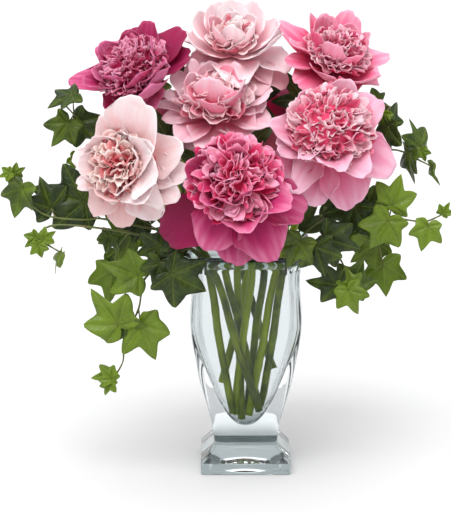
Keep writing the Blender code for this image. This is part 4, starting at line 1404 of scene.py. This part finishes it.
class PEONIES_OT_calyces(bpy.types.Operator):
    """Make the calyx under each bloom"""
    bl_idname = "peonies.calyces"
    bl_label = "Calyces"

    def execute(self, context):
        greens = context.scene.peonies.greens
        material = calyx_material()
        for number, (name, bloom) in enumerate(BLOOMS.items()):
            cup, sepals = Shape(), Shape()
            calyx_cup(cup, bloom)
            calyx_sheets(sepals, bloom, np.random.default_rng(200 * greens.seed + number))
            end = merge_poles(cup.build(f"{name}_calyx_cup", material))
            leaves = thicken(sepals.build(f"{name}_sepals", material), SEPAL_THICKNESS)
            stand_for(f"{name}_calyx", "calyx", end, leaves)
        return {"FINISHED"}


class PEONIES_OT_blooms(bpy.types.Operator):
    """Make the petals of every peony"""
    bl_idname = "peonies.blooms"
    bl_label = "Blooms"

    def execute(self, context):
        look = context.scene.peonies.petals
        for name, bloom in BLOOMS.items():
            chance = np.random.default_rng(bloom["seed"])
            fine = petal_material(f"{name}_petal", bloom["colours"], look.sheen, look.gloss)
            broad = petal_material(f"{name}_guard", bloom["guards"], look.sheen, look.gloss)
            outer, inner, heart = Shape(), Shape(), Shape()
            petal_sheets(outer, broad_petals(bloom, chance, look.ruffle), *BROAD_GRID)
            petal_sheets(inner, crown_petals(bloom, chance, look.ruffle), *INNER_GRID)
            heart_core(heart, bloom)
            guards = thicken(outer.build(f"{name}_broad_petals", broad), look.thickness)
            crown = thicken(inner.build(f"{name}_inner_petals", fine), look.thickness)
            bases = merge_poles(heart.build(f"{name}_petal_bases", fine))
            stand_for(f"{name}_guard_petals", f"{name}_petal", guards)
            stand_for(f"{name}_crown", f"{name}_petal", crown, bases)
        return {"FINISHED"}


class PEONIES_OT_ivy(bpy.types.Operator):
    """Make the sprigs of ivy"""
    bl_idname = "peonies.ivy"
    bl_label = "Ivy"

    def execute(self, context):
        greens = context.scene.peonies.greens
        leaf = leaf_material(tuple(greens.young), tuple(greens.old), greens.leaf_gloss)
        vine = vine_material()
        for number, (name, sprig) in enumerate(SPRIGS.items()):
            chance = np.random.default_rng(300 * greens.seed + number)
            wood, blades = sprig_shapes(sprig, chance)
            leaves = thicken(blades.build(f"{name}_leaves", leaf), greens.leaf_thickness)
            stalks = merge_poles(wood.build(f"{name}_vine", vine))
            stand_for(name, "ivy", leaves, stalks)
        return {"FINISHED"}


class PEONIES_OT_studio(bpy.types.Operator):
    """Set the floor, the lights and the camera"""
    bl_idname = "peonies.studio"
    bl_label = "Studio"

    def execute(self, context):
        studio = context.scene.peonies.studio
        make_floor(tuple(studio.floor))
        make_world(studio.fill)
        add_sun("key_light", studio.key, KEY_TURN, KEY_SPREAD)
        add_sun("top_light", studio.top, TOP_TURN, TOP_SPREAD)
        add_camera(context.scene)
        return {"FINISHED"}


def make_floor(colour):
    """One wide square, faintly uneven in its shade."""
    mesh = bpy.data.meshes.new("floor")
    corners = [(FLOOR_SIDE * (x - 0.5), FLOOR_SIDE * (y - 0.5), FLOOR_LEVEL)
               for x, y in ((0, 0), (1, 0), (1, 1), (0, 1))]
    mesh.from_pydata(corners, [], [(0, 1, 2, 3)])
    n = Nodes("floor")
    grain = n.noise(n.place(), 3.0, 2.0)
    shade = tuple(0.97 * value for value in colour)
    mesh.materials.append(n.surface(Base_Color=n.mix(grain, colour, shade), Roughness=0.7,
                                    Specular_IOR_Level=0.2))
    put("floor", mesh)


def make_world(strength):
    """Even pale light from all round."""
    world = bpy.data.worlds.new("studio")
    world.use_nodes = True
    background = world.node_tree.nodes["Background"]
    background.inputs["Color"].default_value = (0.97, 0.98, 1.0, 1.0)
    background.inputs["Strength"].default_value = strength
    bpy.context.scene.world = world


def add_sun(name, strength, turn, spread):
    """A sun, turned from straight down and as wide as its spread, both in degrees."""
    light = bpy.data.lights.new(name, "SUN")
    light.energy = strength
    light.angle = math.radians(spread)
    put(name, light).rotation_euler = np.radians(turn)


def add_camera(scene):
    """A long lens a little above the bouquet, level from side to side."""
    camera = bpy.data.cameras.new("camera")
    camera.sensor_fit = "VERTICAL"
    camera.angle = CAMERA_VIEW
    camera.clip_end = 60.0
    viewer = put("camera", camera)
    viewer.location = CAMERA_PLACE
    viewer.rotation_euler = np.radians(CAMERA_TURN)
    scene.camera = viewer
    scene.view_settings.view_transform = "Standard"


class PEONIES_PT_panel(bpy.types.Panel):
    """Lists the settings and the pieces in the 3D view's sidebar"""
    bl_idname = "PEONIES_PT_panel"
    bl_label = "Peonies in a Vase"
    bl_space_type = "VIEW_3D"
    bl_region_type = "UI"
    bl_category = "Peonies"

    def draw(self, context):
        settings = context.scene.peonies
        for group in ("glass", "petals", "greens", "studio"):
            box = self.layout.box()
            box.label(text=group.capitalize())
            chosen = getattr(settings, group)
            for key in chosen.__annotations__:
                box.prop(chosen, key)
        for operator in OPERATORS:
            self.layout.operator(operator.bl_idname)


OPERATORS = (
    PEONIES_OT_vase, PEONIES_OT_water, PEONIES_OT_stems, PEONIES_OT_calyces, PEONIES_OT_blooms,
    PEONIES_OT_ivy, PEONIES_OT_studio,
)
CLASSES = (
    PeonyGlass, PeonyPetals, PeonyGreens, PeonyStudio, PeonySettings, *OPERATORS,
    PEONIES_PT_panel,
)


def register():
    for cls in CLASSES:
        bpy.utils.register_class(cls)
    bpy.types.Scene.peonies = PointerProperty(type=PeonySettings)


def unregister():
    del bpy.types.Scene.peonies
    for cls in reversed(CLASSES):
        bpy.utils.unregister_class(cls)


def main():
    register()
    for operator in OPERATORS:
        group, name = operator.bl_idname.split(".")
        getattr(getattr(bpy.ops, group), name)()


if __name__ == "__main__":
    main()
